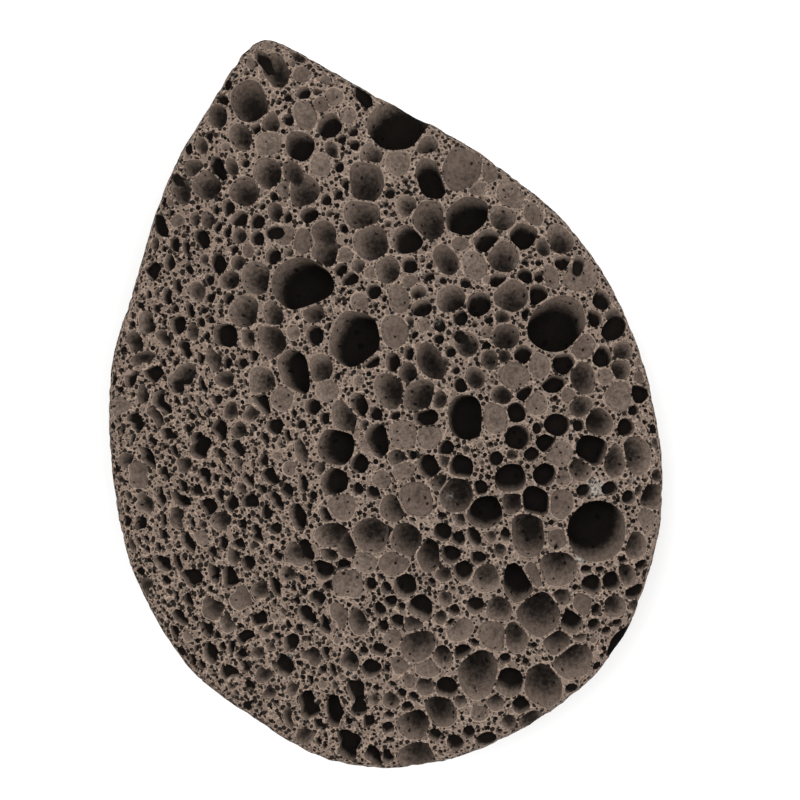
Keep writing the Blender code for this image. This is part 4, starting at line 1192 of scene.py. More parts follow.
class Tree:
    """A Geometry Nodes tree that is built up by calls."""

    def __init__(self, name: str) -> None:
        """Starts an empty tree with a geometry input and output."""
        self.group = bpy.data.node_groups.new(name, "GeometryNodeTree")
        self.group.interface.new_socket("Geometry", in_out="INPUT", socket_type="NodeSocketGeometry")
        self.group.interface.new_socket("Geometry", in_out="OUTPUT", socket_type="NodeSocketGeometry")
        self.entry = self.group.nodes.new("NodeGroupInput")
        self.exit = self.group.nodes.new("NodeGroupOutput")
        self.identifiers = {}

    def take(self, name: str, kind: str, value: float | None = None) -> None:
        """Adds a named input.

        Args:
            name: Its name.
            kind: Its socket's type.
            value: Its usual value, for a number.
        """
        socket = self.group.interface.new_socket(name, in_out="INPUT", socket_type=kind)
        self.identifiers[name] = socket.identifier
        if value is not None:
            socket.default_value = value

    def node(self, kind: str, settings: dict | None = None, **links: object) -> bpy.types.Node:
        """Adds a node.

        Args:
            kind: The node's type.
            settings: Its settings, set before its sockets.
            links: Sockets by name, spaces as underscores: a socket to link, or a value.

        Returns:
            The node.
        """
        made = self.group.nodes.new(kind)
        for title, value in (settings or {}).items():
            setattr(made, title, value)
        for title, value in links.items():
            socket = next(s for s in made.inputs if s.enabled and s.name == title.replace("_", " "))
            if isinstance(value, bpy.types.NodeSocket):
                self.group.links.new(value, socket)
            else:
                socket.default_value = value
        return made

    def finish(self, geometry: bpy.types.NodeSocket) -> None:
        """Links the result to the tree's output."""
        self.group.links.new(geometry, self.exit.inputs[0])


@dataclass(frozen=True)
class Pit:
    """One of the finest pits: where it opens, its width and length, and its turn in radians."""

    patch: Patch
    width: float
    length: float
    turn: float


@dataclass
class Pinholes:
    """The finest pits that are cut: one plain ball at each of many points, by Geometry Nodes.

    A ball has few facets, sinks by a share of its own half width, and spills a little over
    its pit's rim to make up for its corners.
    """

    material: bpy.types.Material
    name: str = "pits"
    segments: int = 6
    rings: int = 3
    sink: float = 0.35
    spill: float = 1.12
    wall_spread: float = 0.9
    floor_spread: float = 0.05
    owner: int = 20000
    tone: float = 0.5

    def tree(self) -> Tree:
        """Builds the tree that sets a pit on every point.

        Returns:
            The tree; its inputs are the pits' facets, how far they sink and their material.
        """
        tree = Tree("pits")
        tree.take("Segments", "NodeSocketInt", self.segments)
        tree.take("Rings", "NodeSocketInt", self.rings)
        tree.take("Sink", "NodeSocketFloat", self.sink)
        tree.take("Material", "NodeSocketMaterial")
        wanted = tree.entry.outputs
        ball = tree.node("GeometryNodeMeshUVSphere", Segments=wanted["Segments"], Rings=wanted["Rings"])
        drop = tree.node("ShaderNodeMath", {"operation": "MULTIPLY"})
        tree.group.links.new(wanted["Sink"], drop.inputs[0])
        drop.inputs[1].default_value = -1.0
        shift = tree.node("ShaderNodeCombineXYZ", Z=drop.outputs[0])
        sunk = tree.node("GeometryNodeTransform", Geometry=ball.outputs["Mesh"], Translation=shift.outputs[0])
        own = tree.node("GeometryNodeInputPosition")
        kept = tree.node(
            "GeometryNodeStoreNamedAttribute", {"data_type": "FLOAT_VECTOR", "domain": "POINT"},
            Geometry=sunk.outputs[0], Name="local", Value=own.outputs[0],
        )
        size = tree.node("GeometryNodeInputNamedAttribute", {"data_type": "FLOAT_VECTOR"}, Name="size")
        facing = tree.node("GeometryNodeInputNamedAttribute", {"data_type": "FLOAT_VECTOR"}, Name="facing")
        turned = tree.node("FunctionNodeEulerToRotation", Euler=facing.outputs[0])
        placed = tree.node(
            "GeometryNodeInstanceOnPoints", Points=wanted["Geometry"], Instance=kept.outputs[0],
            Rotation=turned.outputs[0], Scale=size.outputs[0],
        )
        real = tree.node("GeometryNodeRealizeInstances", Geometry=placed.outputs[0])
        stone = tree.node("GeometryNodeSetMaterial", Geometry=real.outputs[0], Material=wanted["Material"])
        tree.finish(stone.outputs[0])
        return tree

    def cutter(self, pits: list[Pit]) -> bpy.types.Object:
        """Makes the cutter for a list of pits.

        Args:
            pits: The pits.

        Returns:
            The cutter, a plain mesh.
        """
        mesh = bpy.data.meshes.new(self.name + "_spots")
        mesh.from_pydata([tuple(pit.patch.spot) for pit in pits], [], [])
        sizes, facings, charts = [], [], []
        for pit in pits:
            axes = Matrix((pit.patch.right, pit.patch.ahead, pit.patch.outward)).transposed()
            facings.extend((axes @ Matrix.Rotation(pit.turn, 3, "Z")).to_euler())
            mean = math.sqrt(pit.width * pit.length)
            sizes.extend((pit.width / 2 * self.spill, pit.length / 2 * self.spill, mean / 2))
            charts.extend((*pit.patch.chart, 0.0))
        for title, values in (("size", sizes), ("facing", facings), ("chart", charts)):
            mark = mesh.attributes.new(title, "FLOAT_VECTOR", "POINT")
            mark.data.foreach_set("vector", values)
        points = placed(self.name + "_spots", mesh)
        tree = self.tree()
        modifier = points.modifiers.new("pits", "NODES")
        modifier.node_group = tree.group
        for title, value in (
            ("Segments", self.segments),
            ("Rings", self.rings),
            ("Sink", self.sink),
            ("Material", self.material),
        ):
            modifier[tree.identifiers[title]] = value
        return self.settled(points)

    def settled(self, points: bpy.types.Object) -> bpy.types.Object:
        """Turns the points and their tree into a plain mesh with the marks of a cutter.

        Args:
            points: The object that holds the points; it is used up.

        Returns:
            The cutter.
        """
        depsgraph = bpy.context.evaluated_depsgraph_get()
        mesh = bpy.data.meshes.new_from_object(points.evaluated_get(depsgraph))
        points.modifiers.clear()
        bpy.data.objects.remove(points)
        local, size, chart = (self.vectors(mesh, title) for title in ("local", "size", "chart"))
        depth = np.maximum(0.0, -local[:, 2] * size[:, 2]) / MM
        down = np.clip(1.0 + local[:, 2] / (1.0 + self.sink), self.floor_spread, 1.0)
        flat = chart[:, :2] + local[:, :2] * size[:, :2] / MM * down[:, None] * self.wall_spread
        corner = np.empty(len(mesh.loops), dtype=np.int32)
        mesh.loops.foreach_get("vertex_index", corner)
        for title in [layer.name for layer in mesh.uv_layers]:
            mesh.uv_layers.remove(mesh.uv_layers[title])
        for title in ("local", "size", "facing", "chart"):
            mesh.attributes.remove(mesh.attributes[title])
        layout = mesh.uv_layers.new(name=LAYOUT)
        layout.data.foreach_set("uv", (flat[corner] / LAYOUT_SIZE_MM).astype(np.float32).ravel())
        faces = len(mesh.polygons)
        sunk = np.maximum(0.0, -local[:, 2])
        marks = Shell(depths=depth, sunk=sunk, owners=[self.owner] * faces, tones=[self.tone] * faces)
        marks.mark(mesh)
        return placed(self.name, mesh)

    def vectors(self, mesh: bpy.types.Mesh, title: str) -> np.ndarray:
        """Reads a mark of three numbers at each point.

        Args:
            mesh: The mesh.
            title: The mark's name.

        Returns:
            One row for each point.
        """
        values = np.empty(len(mesh.vertices) * 3)
        mesh.attributes[title].data.foreach_get("vector", values)
        return values.reshape(-1, 3)


class Term:
    """A shader value in Python arithmetic: each operator adds one Math node."""

    def __init__(self, bench: "Bench", socket: bpy.types.NodeSocket) -> None:
        """Wraps a socket."""
        self.bench = bench
        self.socket = socket

    def __add__(self, other: "Term | float") -> "Term":
        """Adds."""
        return self.bench.maths("ADD", self, other)

    def __radd__(self, other: float) -> "Term":
        """Adds, from the right."""
        return self.bench.maths("ADD", other, self)

    def __sub__(self, other: "Term | float") -> "Term":
        """Subtracts."""
        return self.bench.maths("SUBTRACT", self, other)

    def __rsub__(self, other: float) -> "Term":
        """Subtracts, from the right."""
        return self.bench.maths("SUBTRACT", other, self)

    def __mul__(self, other: "Term | float") -> "Term":
        """Multiplies."""
        return self.bench.maths("MULTIPLY", self, other)

    def __rmul__(self, other: float) -> "Term":
        """Multiplies, from the right."""
        return self.bench.maths("MULTIPLY", other, self)

    def above(self, limit: float) -> "Term":
        """Tells, as 1 or 0, whether the value is above a limit."""
        return self.bench.maths("GREATER_THAN", self, limit)

    def fraction(self) -> "Term":
        """Keeps what stands after the decimal point."""
        return self.bench.maths("FRACT", self)

    def most(self, other: "Term | float") -> "Term":
        """Takes the larger of two values."""
        return self.bench.maths("MAXIMUM", self, other)

    def ramp(self, low: float, high: float) -> "Term":
        """Rises smoothly from 0 to 1.

        Args:
            low: The value where it is 0; where this is the larger, the ramp falls.
            high: The value where it is 1.

        Returns:
            The result.
        """
        settings = {"interpolation_type": "SMOOTHSTEP"}
        node = self.bench.node("ShaderNodeMapRange", settings, Value=self, From_Min=low, From_Max=high)
        return Term(self.bench, node.outputs["Result"])


class Bench:
    """Where a material's nodes are put together."""

    def __init__(self, name: str) -> None:
        """Starts an empty node material."""
        self.material = bpy.data.materials.new(name)
        self.material.use_nodes = True
        self.tree = self.material.node_tree
        self.tree.nodes.clear()

    def feed(self, socket: bpy.types.NodeSocket, value: object) -> None:
        """Fills a node's input.

        Args:
            socket: The input.
            value: A term or socket to link to it, or a plain value for it.
        """
        if isinstance(value, Term):
            self.tree.links.new(value.socket, socket)
        elif isinstance(value, bpy.types.NodeSocket):
            self.tree.links.new(value, socket)
        else:
            socket.default_value = value

    def node(self, kind: str, settings: dict | None = None, **values: object) -> bpy.types.Node:
        """Adds a node.

        Args:
            kind: The node's type.
            settings: Its settings, set before its sockets.
            values: Its sockets by name, spaces as underscores: a term, a socket or a value.

        Returns:
            The node.
        """
        made = self.tree.nodes.new(kind)
        for title, value in (settings or {}).items():
            setattr(made, title, value)
        for title, value in values.items():
            socket = next(s for s in made.inputs if s.enabled and s.name == title.replace("_", " "))
            self.feed(socket, value)
        return made

    def maths(self, operation: str, *values: "Term | float") -> Term:
        """Adds a Math node.

        Args:
            operation: What it works out.
            values: What it works on.

        Returns:
            Its result.
        """
        made = self.node("ShaderNodeMath", {"operation": operation})
        for socket, value in zip(made.inputs, values):
            self.feed(socket, value)
        return Term(self, made.outputs[0])

    def vector(self, operation: str, vector: object, **values: object) -> bpy.types.Node:
        """Adds a Vector Math node; its inputs are as node() takes them."""
        return self.node("ShaderNodeVectorMath", {"operation": operation}, Vector=vector, **values)

    def mix(self, share: Term, first: object, second: object) -> bpy.types.NodeSocket:
        """Mixes two colours.

        Args:
            share: How much of the second there is, from 0 to 1.
            first: The first colour, or the socket that gives it.
            second: The second colour, or the socket that gives it.

        Returns:
            The mixed colour.
        """
        made = self.node("ShaderNodeMix", {"data_type": "RGBA", "clamp_factor": True})
        for number, value in ((0, share), (6, first), (7, second)):
            self.feed(made.inputs[number], value)
        return made.outputs[2]

    def mark(self, name: str) -> Term:
        """Reads one of the mesh's marks."""
        return Term(self, self.node("ShaderNodeAttribute", {"attribute_name": name}).outputs["Fac"])

    def clouds(self, place: bpy.types.NodeSocket, scale: float, detail: float, roughness: float) -> Term:
        """Adds soft noise, of about 0.5 on average."""
        made = self.node("ShaderNodeTexNoise", Vector=place, Scale=scale, Detail=detail, Roughness=roughness)
        return Term(self, made.outputs["Fac"])

    def cells(self, place: bpy.types.NodeSocket, scale: float) -> tuple[Term, Term]:
        """Scatters points over the layout.

        Args:
            place: The place on the layout, in millimetres.
            scale: How many points there are to a millimetre.

        Returns:
            The distance to the nearest point, in spacings, and that point's own chance value.
        """
        settings = {"feature": "F1", "voronoi_dimensions": "2D"}
        made = self.node("ShaderNodeTexVoronoi", settings, Vector=place, Scale=scale)
        own = self.node("ShaderNodeSeparateColor", Color=made.outputs["Color"])
        return Term(self, made.outputs["Distance"]), Term(self, own.outputs[0])

    def finished(self, shader: bpy.types.Node) -> bpy.types.Material:
        """Sends a shader to the surface.

        Args:
            shader: The shader's node.

        Returns:
            The finished material.
        """
        output = self.node("ShaderNodeOutputMaterial")
        self.feed(output.inputs["Surface"], shader.outputs[0])
        return self.material


def tint(red: float, green: float, blue: float) -> tuple[float, float, float, float]:
    """Turns screen values from 0 to 255 into a linear colour."""
    shares = (red / 255, green / 255, blue / 255)
    return (*(v / 12.92 if v < 0.0404 else ((v + 0.055) / 1.055) ** 2.4 for v in shares), 1.0)


@dataclass(frozen=True)
class Pores:
    """The pattern of pores that are too fine to be cut.

    The pores' near-black centres are painted shade, their pale lips are painted highlight, and sink is how
    far they go in, for the bump. The faint bubbles are only just opened: they have a greyer wall colour, a
    pale ring of painted highlight and a darker hollow of painted shade.
    """

    pore_shades: Term
    lip_highlights: Term
    sink: Term
    faint: Term
    ring: Term
    hollow: Term


@dataclass(frozen=True)
class Surface:
    """Where a point of the skin is, and the noises that every part of the finish shares."""

    place: bpy.types.NodeSocket
    layout: bpy.types.NodeSocket
    across: Term
    torn: Term
    grain: Term
    mottle: Term


@dataclass(frozen=True)
class LavaFinish:
    """Dry basalt foam: a sawn brown-grey face full of pinholes, and greyer bubble walls.

    All patterns are in millimetres, and a scale is how often one repeats in a millimetre. A
    band is where across the stone something starts and where it is complete.
    """

    name: str = "lava"
    sawn: tuple = tint(116, 101, 91)
    sawn_pink: tuple = tint(116, 100, 89)
    sawn_dark: tuple = tint(76, 64, 57)
    # The pale colour of the painted highlights on rims and round pores.
    rim: tuple = tint(148, 130, 116)
    wall: tuple = tint(116, 102, 92)
    wall_dark: tuple = tint(92, 80, 72)
    # The near black of the painted shade in pores, small holes and deep bubbles.
    hole_shade: tuple = tint(8, 6, 5)
    speck: tuple = tint(158, 156, 150)
    roughness: float = 0.93
    specular: float = 0.08
    bend_scale: float = 1.1
    large_pore_scale: float = 1.25
    small_pore_scale: float = 2.05
    faint_scale: float = 0.80
    dot_scale: float = 0.85
    speck_scale: float = 0.16
    grain_scale: float = 3.2
    mottle_scale: float = 1.7
    blotch_scale: float = 0.35
    bend: float = 0.30
    torn_bend: float = 0.25
    torn_band: tuple[float, float] = (-5.0, -18.0)
    pink_band: tuple[float, float] = (4.0, -22.0)
    bump_depth: float = 0.3 * MM
    bump_strength: float = 0.8
    chalk_height: float = 25.0
    chalk_spots: tuple[tuple[float, float, float], ...] = (
        (25.6, -20.8, 1.7),
        (20.8, -29.2, 0.9),
        (12.0, -46.9, 1.0),
        (17.0, -45.5, 0.9),
        (25.3, -38.5, 0.9),
    )

    def surface(self, bench: Bench) -> Surface:
        """Lays out the skin; its layout is bent a little, so that the pores aren't round.

        Args:
            bench: The material's bench.

        Returns:
            The places and noises.
        """
        coordinates = bench.node("ShaderNodeTexCoord")
        place = bench.vector("SCALE", coordinates.outputs["Object"], Scale=1 / MM).outputs[0]
        across = Term(bench, bench.node("ShaderNodeSeparateXYZ", Vector=place).outputs[0])
        torn = across.ramp(*self.torn_band)
        sheet = bench.node("ShaderNodeUVMap", {"uv_map": LAYOUT})
        unrolled = bench.vector("SCALE", sheet.outputs[0], Scale=LAYOUT_SIZE_MM)
        bend = bench.node("ShaderNodeTexNoise", Vector=place, Scale=self.bend_scale, Detail=1.5)
        bent = bench.vector("SCALE", bend.outputs["Color"], Scale=self.bend + self.torn_bend * torn)
        joined = bench.vector("ADD", bent.outputs[0])
        bench.feed(joined.inputs[1], unrolled.outputs[0])
        grain = bench.clouds(place, self.grain_scale, 4.0, 0.75)
        mottle = bench.clouds(place, self.mottle_scale, 3.0, 0.6)
        return Surface(place, joined.outputs[0], across, torn, grain, mottle)

    def pores(self, bench: Bench, skin: Surface) -> Pores:
        """Draws the pores of the sawn face, with painted shade in them and painted highlight round them.

        Each scattered point may hold a pore, where its own chance value is high enough, and
        that value also widens it. All widths are shares of the points' spacing.

        Args:
            bench: The material's bench.
            skin: The places and noises.

        Returns:
            The pattern.
        """
        large_gap, large_own = bench.cells(skin.layout, self.large_pore_scale)
        small_gap, small_own = bench.cells(skin.layout, self.small_pore_scale)
        large_rim = large_gap - (0.12 + 0.30 * large_own + 0.04 * skin.torn)
        small_rim = small_gap - (0.15 + 0.27 * small_own + 0.02 * skin.torn)
        large_there = (large_own + 0.22 * skin.torn).above(0.30)
        small_there = (small_own + 0.25 * skin.torn).above(0.28)
        # The pores' near-black centres are painted shade, and the pale lips round them are painted highlight.
        small_pore_shades = small_rim.ramp(0.06, -0.06) * small_there * 0.8
        pore_shades = (large_rim.ramp(0.04, -0.04) * large_there).most(small_pore_shades)
        lip_highlights = (large_rim.ramp(0.16, 0.04) * large_there).most(small_rim.ramp(0.18, 0.04) * small_there)
        small_sink = small_rim.ramp(0.14, -0.12) * small_there * 0.5
        sink = (large_rim.ramp(0.10, -0.16) * large_there).most(small_sink)

        faint_gap, faint_own = bench.cells(skin.layout, self.faint_scale)
        faint_rim = faint_gap - (0.26 + 0.26 * faint_own)
        faint_there = faint_own.above(0.25)
        faint = faint_rim.ramp(0.03, -0.03) * faint_there
        # Painted highlight: a pale ring round each faint bubble.
        ring = (faint_rim.ramp(0.16, 0.05) - faint_rim.ramp(0.02, -0.08)) * faint_there
        # Painted shade: a darker hollow in some faint bubbles.
        hollow = faint_rim.ramp(0.0, -0.36) * faint_there * (faint_own * 7.3).fraction()
        return Pores(pore_shades, lip_highlights, sink, faint, ring, hollow)

    def sawn_face(self, bench: Bench, skin: Surface, pores: Pores) -> bpy.types.NodeSocket:
        """Colours the sawn face, with painted shade in its pores and hollows and painted highlight round
        them.

        Args:
            bench: The material's bench.
            skin: The places and noises.
            pores: The pattern of pores.

        Returns:
            The colour.
        """
        blotch = bench.clouds(skin.place, self.blotch_scale, 3.0, 0.55)
        # Painted highlight on the pale lips of the pores and on the rings of the faint bubbles.
        lit = pores.lip_highlights.most(pores.ring * 1.2) * skin.grain.ramp(0.30, 0.55)
        sawn = bench.mix(skin.across.ramp(*self.pink_band), self.sawn, self.sawn_pink)
        sawn = bench.mix(blotch.ramp(0.40, 0.68) * 0.4, sawn, self.sawn_dark)
        sawn = bench.mix(skin.grain.ramp(0.54, 0.36) * 0.6, sawn, self.sawn_dark)
        sawn = bench.mix(pores.faint * 0.45, sawn, self.wall_dark)
        # Painted shade in the hollows of the faint bubbles.
        sawn = bench.mix(pores.hollow * 0.9, sawn, self.sawn_dark)
        sawn = bench.mix(lit * 0.7, sawn, self.rim)
        # Painted shade: the pores go nearly black.
        return bench.mix(pores.pore_shades * 0.96, sawn, self.hole_shade)

    def bubble_wall(self, bench: Bench, skin: Surface, pores: Pores, dots: Term) -> bpy.types.NodeSocket:
        """Colours the bubbles' walls, with painted shade that makes them darker the deeper they go, and a
        painted highlight along the worn rim.

        Args:
            bench: The material's bench.
            skin: The places and noises.
            pores: The pattern of pores.
            dots: The small holes in the walls, which get painted shade.

        Returns:
            The colour.
        """
        # Painted shade: how far down the wall lies sets how dark it gets.
        sunk = (bench.mark("sunk") + (skin.mottle - 0.5) * 0.45).ramp(0.18, 0.92)
        wall = bench.mix(bench.mark("tone"), self.wall, self.wall_dark)
        wall = bench.mix(skin.grain.ramp(0.46, 0.62) * 0.6, wall, self.sawn_dark)
        wall = bench.mix(skin.mottle.ramp(0.45, 0.70) * 0.35, wall, self.sawn_dark)
        # Painted shade in the pores and small holes of the walls.
        wall = bench.mix(pores.pore_shades * 0.22, wall, self.hole_shade)
        wall = bench.mix(dots * 0.9, wall, self.hole_shade)
        # Painted shade: deep walls go nearly black.
        wall = bench.mix(sunk * 0.97, wall, self.hole_shade)
        # Painted highlight: the top of each wall, just under the rim, turns pale.
        return bench.mix(bench.mark("depth").ramp(0.14, 0.03) * 0.75, wall, self.rim)

    def chalk(self, bench: Bench, skin: Surface) -> Term:
        """Marks the few spots of the upper face that are dusted with chalk.

        Args:
            bench: The material's bench.
            skin: The places and noises.

        Returns:
            1 at the middle of a spot and 0 outside all of them.
        """
        dusted = None
        for x, y, reach in self.chalk_spots:
            away = bench.vector("DISTANCE", skin.place)
            away.inputs[1].default_value = (x, y, self.chalk_height)
            near = Term(bench, away.outputs["Value"]).ramp(reach, reach * 0.2)
            dusted = near if dusted is None else dusted.most(near)
        return dusted

    def material(self) -> bpy.types.Material:
        """Builds the material.

        Returns:
            The material, for a mesh with the stone's marks and layout.
        """
        bench = Bench(self.name)
        skin = self.surface(bench)
        pores = self.pores(bench, skin)
        on_wall = bench.mark("bubble").above(0.5)
        # Small holes in the walls: painted shade in the colour, dents in the bump.
        dot_gap, dot_own = bench.cells(skin.layout, self.dot_scale)
        dots = (dot_gap - 0.14 * dot_own).ramp(0.04, -0.04) * dot_own.above(0.55)
        speck_gap, speck_own = bench.cells(skin.layout, self.speck_scale)
        specks = (speck_gap - 0.05).ramp(0.03, -0.03) * speck_own.above(0.75) * skin.grain.ramp(0.45, 0.6)

        sawn = self.sawn_face(bench, skin, pores)
        base = bench.mix(on_wall, sawn, self.bubble_wall(bench, skin, pores, dots))
        base = bench.mix(specks * 0.4, base, self.speck)
        base = bench.mix(self.chalk(bench, skin) * skin.grain.ramp(0.42, 0.60) * 0.75, base, self.speck)

        sink = pores.sink.most(pores.hollow * 0.5)
        height = skin.grain * 0.2 + skin.mottle * 0.2 - sink * 0.55 * (1.0 - on_wall) - dots * 0.4 * on_wall
        bump = bench.node(
            "ShaderNodeBump", Strength=self.bump_strength, Distance=self.bump_depth, Height=height
        )
        shader = bench.node("ShaderNodeBsdfPrincipled", Roughness=self.roughness, Base_Color=base)
        shader.inputs["Specular IOR Level"].default_value = self.specular
        bench.feed(shader.inputs["Normal"], bump.outputs[0])
        return bench.finished(shader)


@dataclass(frozen=True)
class FloorFinish:
    """A plain pale floor."""

    name: str = "pale_floor"
    colour: tuple = (0.86, 0.86, 0.86, 1.0)
    roughness: float = 0.9

    def material(self) -> bpy.types.Material:
        """Builds the material.

        Returns:
            The material.
        """
        bench = Bench(self.name)
        shader = bench.node("ShaderNodeBsdfPrincipled", Roughness=self.roughness)
        shader.inputs["Base Color"].default_value = self.colour
        return bench.finished(shader)


@dataclass
class Stone:
    """The finished stone: the blank with every bubble cut from it, in its lava finish."""

    blank: Blank = field(default_factory=Blank)
    finish: LavaFinish = field(default_factory=LavaFinish)
    name: str = "stone"
    edge_rounds: tuple[Strewing, ...] = (
        Strewing(400, 0.7 * MM, 1.3 * MM),
        Strewing(3500, 0.28 * MM, 0.7 * MM),
    )
    upper_rounds: tuple[Strewing, ...] = (
        Strewing(3000, 1.15 * MM, 1.90 * MM),
        Strewing(4000, 0.72 * MM, 1.15 * MM),
        Strewing(7000, 0.45 * MM, 0.72 * MM),
    )
    wall_rounds: tuple[Strewing, ...] = (
        Strewing(40, 1.8 * MM, 2.8 * MM),
        Strewing(1200, 1.1 * MM, 1.9 * MM),
        Strewing(1500, 0.55 * MM, 1.1 * MM),
    )
    underside_rounds: tuple[Strewing, ...] = (
        Strewing(60, 2.2 * MM, 3.6 * MM),
        Strewing(900, 1.2 * MM, 2.1 * MM),
        Strewing(1600, 0.6 * MM, 1.2 * MM),
    )
    pit_tries: int = 11000
    pit_shares: tuple[tuple[Side, float], ...] = (
        (Side.UPPER, 0.84),
        (Side.WALL, 0.12),
        (Side.UNDERSIDE, 0.04),
    )
    pit_least: float = 0.20 * MM
    pit_most: float = 0.42 * MM
    pit_wall: float = 0.16 * MM
    pit_margin: float = 1.2 * MM
    pit_stretch: float = 0.8

    def build(self) -> bpy.types.Object:
        """Builds the stone and dresses it.

        Returns:
            Its object, one closed mesh.
        """
        material = self.finish.material()
        body = self.blank.build().object(self.name)
        bubbles = Bubbles(self.blank)
        bubbles.open_upper()
        LOG.info("placed one by one: %d bubbles", bubbles.foam.count)
        for side, rounds in (
            (Side.EDGE, self.edge_rounds),
            (Side.UPPER, self.upper_rounds),
            (Side.WALL, self.wall_rounds),
            (Side.UNDERSIDE, self.underside_rounds),
        ):
            bubbles.strew(side, rounds)
            LOG.info("with the %s: %d bubbles", side.value, bubbles.foam.count)
        cutters = bubbles.cutters()
        pits = self.pits(bubbles)
        LOG.info("pits: %d", len(pits))
        cutters.append(Pinholes(material).cutter(pits))
        for cutter in cutters:
            self.cut(body, cutter)
            LOG.info("cut: %d faces", len(body.data.polygons))
        self.sound(body.data, bubbles.foam)
        self.sharpen(body.data)
        body.data.materials.clear()
        body.data.materials.append(material)
        return body

    def pits(self, bubbles: Bubbles) -> list[Pit]:
        """Strews the finest pits over the skin that is left.

        Args:
            bubbles: The larger bubbles, which take the pits in.

        Returns:
            The pits.
        """
        found = []
        wall, bubbles.foam.wall = bubbles.foam.wall, self.pit_wall
        for side, share in self.pit_shares:
            for _ in range(int(self.pit_tries * share)):
                patch = bubbles.spot_on(side)
                if patch is None:
                    continue
                if side is Side.UPPER and not self.blank.holds(patch.spot[0], patch.spot[1], self.pit_margin):
                    continue
                room = bubbles.foam.room(patch)
                if room < self.pit_least:
                    continue
                wanted = self.pit_least + (self.pit_most - self.pit_least) * bubbles.chance.random()
                half = min(room, wanted)
                torn = bubbles.torn(patch)
                turn = math.radians(bubbles.chance.normal(bubbles.slant * torn, bubbles.slant_spread))
                stretch = 1 + self.pit_stretch * torn * bubbles.chance.random()
                pit = Pit(patch, 2 * half / stretch, 2 * half, turn)
                bubbles.foam.add(patch, pit.width, pit.length, turn, 0.0)
                found.append(pit)
        bubbles.foam.wall = wall
        return found

    def cut(self, body: bpy.types.Object, cutter: bpy.types.Object) -> None:
        """Cuts one family of bubbles from the stone.

        Args:
            body: The stone; it gets the new mesh.
            cutter: The cutter, which is used up.
        """
        step = body.modifiers.new("cut", "BOOLEAN")
        step.operation, step.solver, step.object = "DIFFERENCE", "MANIFOLD", cutter
        depsgraph = bpy.context.evaluated_depsgraph_get()
        mesh = bpy.data.meshes.new_from_object(body.evaluated_get(depsgraph))
        body.modifiers.clear()
        spent = body.data
        body.data = mesh
        bpy.data.meshes.remove(spent)
        shape = cutter.data
        bpy.data.objects.remove(cutter)
        bpy.data.meshes.remove(shape)

    def sound(self, mesh: bpy.types.Mesh, foam: Foam) -> None:
        """Measures how deep each point lies in its bubble, because cutting leaves new points unmarked.

        Args:
            mesh: The stone's mesh.
            foam: The foam, which knows every bubble's mouth.
        """
        owners, totals = self.face_values(mesh)
        points = np.empty(len(mesh.loops), dtype=np.int32)
        mesh.loops.foreach_get("vertex_index", points)
        places = np.empty(len(mesh.vertices) * 3)
        mesh.vertices.foreach_get("co", places)
        numbers = np.repeat(owners, totals) - 1
        held = (numbers >= 0) & (numbers < foam.count)
        numbers, points = numbers[held], points[held]
        away = places.reshape(-1, 3)[points] - foam.spot[numbers]
        below = np.maximum(0.0, -(away * foam.outward[numbers]).sum(axis=1))
        means = np.sqrt(foam.half[numbers].prod(axis=1))
        for title, values in (("depth", below / MM), ("sunk", below / means)):
            mark = mesh.attributes[title].data
            known = np.empty(len(mesh.vertices))
            mark.foreach_get("value", known)
            known[points] = 0.0
            np.maximum.at(known, points, values)
            mark.foreach_set("value", known)

    def sharpen(self, mesh: bpy.types.Mesh) -> None:
        """Smooths the bubble walls, keeps every rim sharp and marks the walls for the finish.

        Args:
            mesh: The stone's mesh.
        """
        owners, totals = self.face_values(mesh)
        loop_edges = np.empty(len(mesh.loops), dtype=np.int32)
        mesh.loops.foreach_get("edge_index", loop_edges)
        loop_owner = np.repeat(owners, totals)
        low = np.full(len(mesh.edges), np.iinfo(np.int32).max)
        high = np.full(len(mesh.edges), -1)
        np.minimum.at(low, loop_edges, loop_owner)
        np.maximum.at(high, loop_edges, loop_owner)
        mesh.polygons.foreach_set("use_smooth", np.ones(len(mesh.polygons), dtype=bool))
        mesh.edges.foreach_set("use_edge_sharp", low != high)
        wall = mesh.attributes.new("bubble", "FLOAT", "FACE")
        wall.data.foreach_set("value", (owners > 0).astype(np.float32))
        mesh.update()
        LOG.info("stone: %d points, %d triangles", len(mesh.vertices), int((totals - 2).sum()))

    def face_values(self, mesh: bpy.types.Mesh) -> tuple[np.ndarray, np.ndarray]:
        """Reads the stone's faces.

        Args:
            mesh: The stone's mesh.

        Returns:
            Each face's owner and its number of corners.
        """
        owners = np.empty(len(mesh.polygons), dtype=np.int32)
        mesh.attributes["owner"].data.foreach_get("value", owners)
        totals = np.empty(len(mesh.polygons), dtype=np.int32)
        mesh.polygons.foreach_get("loop_total", totals)
        return owners, totals


@dataclass(frozen=True)
class SoftLamp:
    """A round lamp that faces the stone, in metres and watts."""

    place: tuple[float, float, float]
    width: float
    power: float


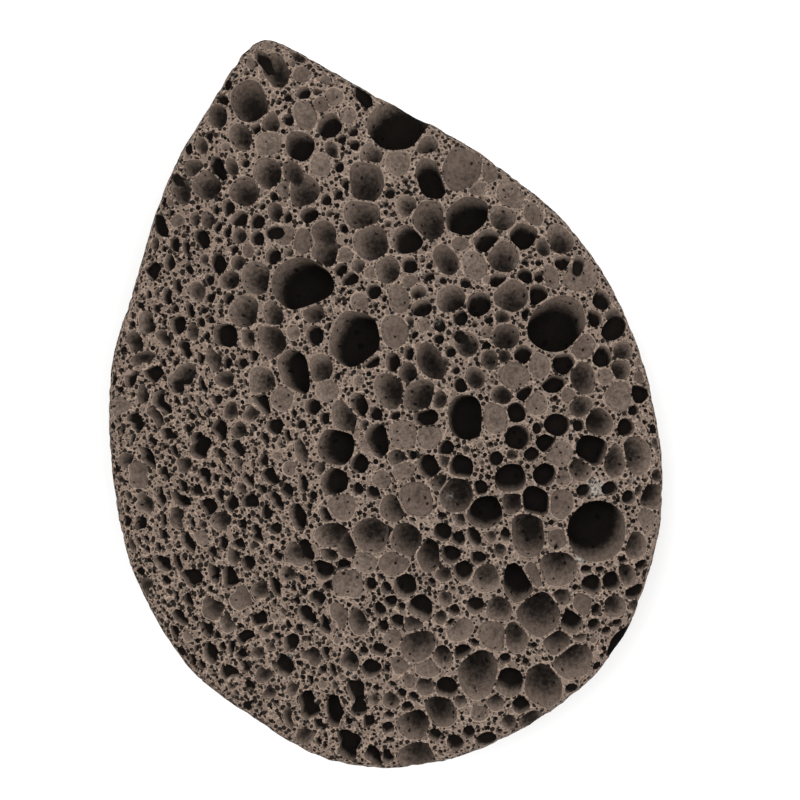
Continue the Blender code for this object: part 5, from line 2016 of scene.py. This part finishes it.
@dataclass
class Stage:
    """The floor, the soft lamps and the camera that looks down on the lying stone."""

    floor_size: float = 12.0
    aim: tuple[float, float] = (4.30 * MM, -1.80 * MM)
    top: float = 25.0 * MM
    view_width: float = 106.6 * MM
    distance: float = 240.0 * MM
    sensor_mm: float = 36.0
    clip: tuple[float, float] = (0.01, 10.0)
    up: tuple[float, float] = (0.302, 0.953)
    ambient: float = 0.95
    lamps: tuple[SoftLamp, ...] = (
        SoftLamp((-0.20, 0.25, 0.95), 0.5, 5.0),
        SoftLamp((0.30, -0.10, 0.85), 0.5, 3.0),
    )

    def build(self) -> bpy.types.Object:
        """Sets up the camera, the light and the floor.

        Returns:
            The floor.
        """
        self.camera()
        self.light()
        return self.floor()

    def camera(self) -> None:
        """Hangs the camera straight above the stone, turned so that the tip points up and left."""
        data = bpy.data.cameras.new("camera")
        data.sensor_width = self.sensor_mm
        data.lens = self.sensor_mm * self.distance / self.view_width
        data.clip_start, data.clip_end = self.clip
        camera = placed("camera", data)
        up = Vector((*self.up, 0.0)).normalized()
        back = Vector((0.0, 0.0, 1.0))
        turn = Matrix((up.cross(back), up, back)).transposed().to_4x4()
        camera.matrix_world = Matrix.Translation((*self.aim, self.top + self.distance)) @ turn
        bpy.context.scene.camera = camera

    def light(self) -> None:
        """Sets up the even surrounding light and the soft lamps."""
        world = bpy.data.worlds.new("surroundings")
        world.use_nodes = True
        background = world.node_tree.nodes["Background"]
        background.inputs["Color"].default_value = (1.0, 1.0, 1.0, 1.0)
        background.inputs["Strength"].default_value = self.ambient
        bpy.context.scene.world = world
        bpy.context.scene.view_settings.view_transform = "Standard"
        for number, wanted in enumerate(self.lamps):
            data = bpy.data.lights.new(f"soft_lamp_{number}", "AREA")
            data.shape, data.size, data.energy = "DISK", wanted.width, wanted.power
            lamp = placed(f"soft_lamp_{number}", data)
            x, y, z = wanted.place
            lamp.location = wanted.place
            lamp.rotation_euler = Vector((-x, -y, self.top - z)).to_track_quat("-Z", "Y").to_euler()

    def floor(self) -> bpy.types.Object:
        """Lays the floor.

        Returns:
            Its object.
        """
        half = self.floor_size / 2
        corners = [(-half, -half, 0), (half, -half, 0), (half, half, 0), (-half, half, 0)]
        mesh = bpy.data.meshes.new("floor")
        mesh.from_pydata(corners, [], [(0, 1, 2, 3)])
        mesh.materials.append(FloorFinish().material())
        return placed("floor", mesh)


def main() -> None:
    """Builds the stone and its stage, and hands them to the frame."""
    logging.basicConfig(level=logging.INFO, format="%(name)s: %(message)s")
    stage = Stage()
    stage.build()
    LOG.info("stage: camera, %d lamps and the floor", len(stage.lamps))

    stone = Stone().build()
    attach(stone, "root")
    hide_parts("pumice_stone")
    LOG.info("stone: dressed")


if __name__ == "__main__":
    main()
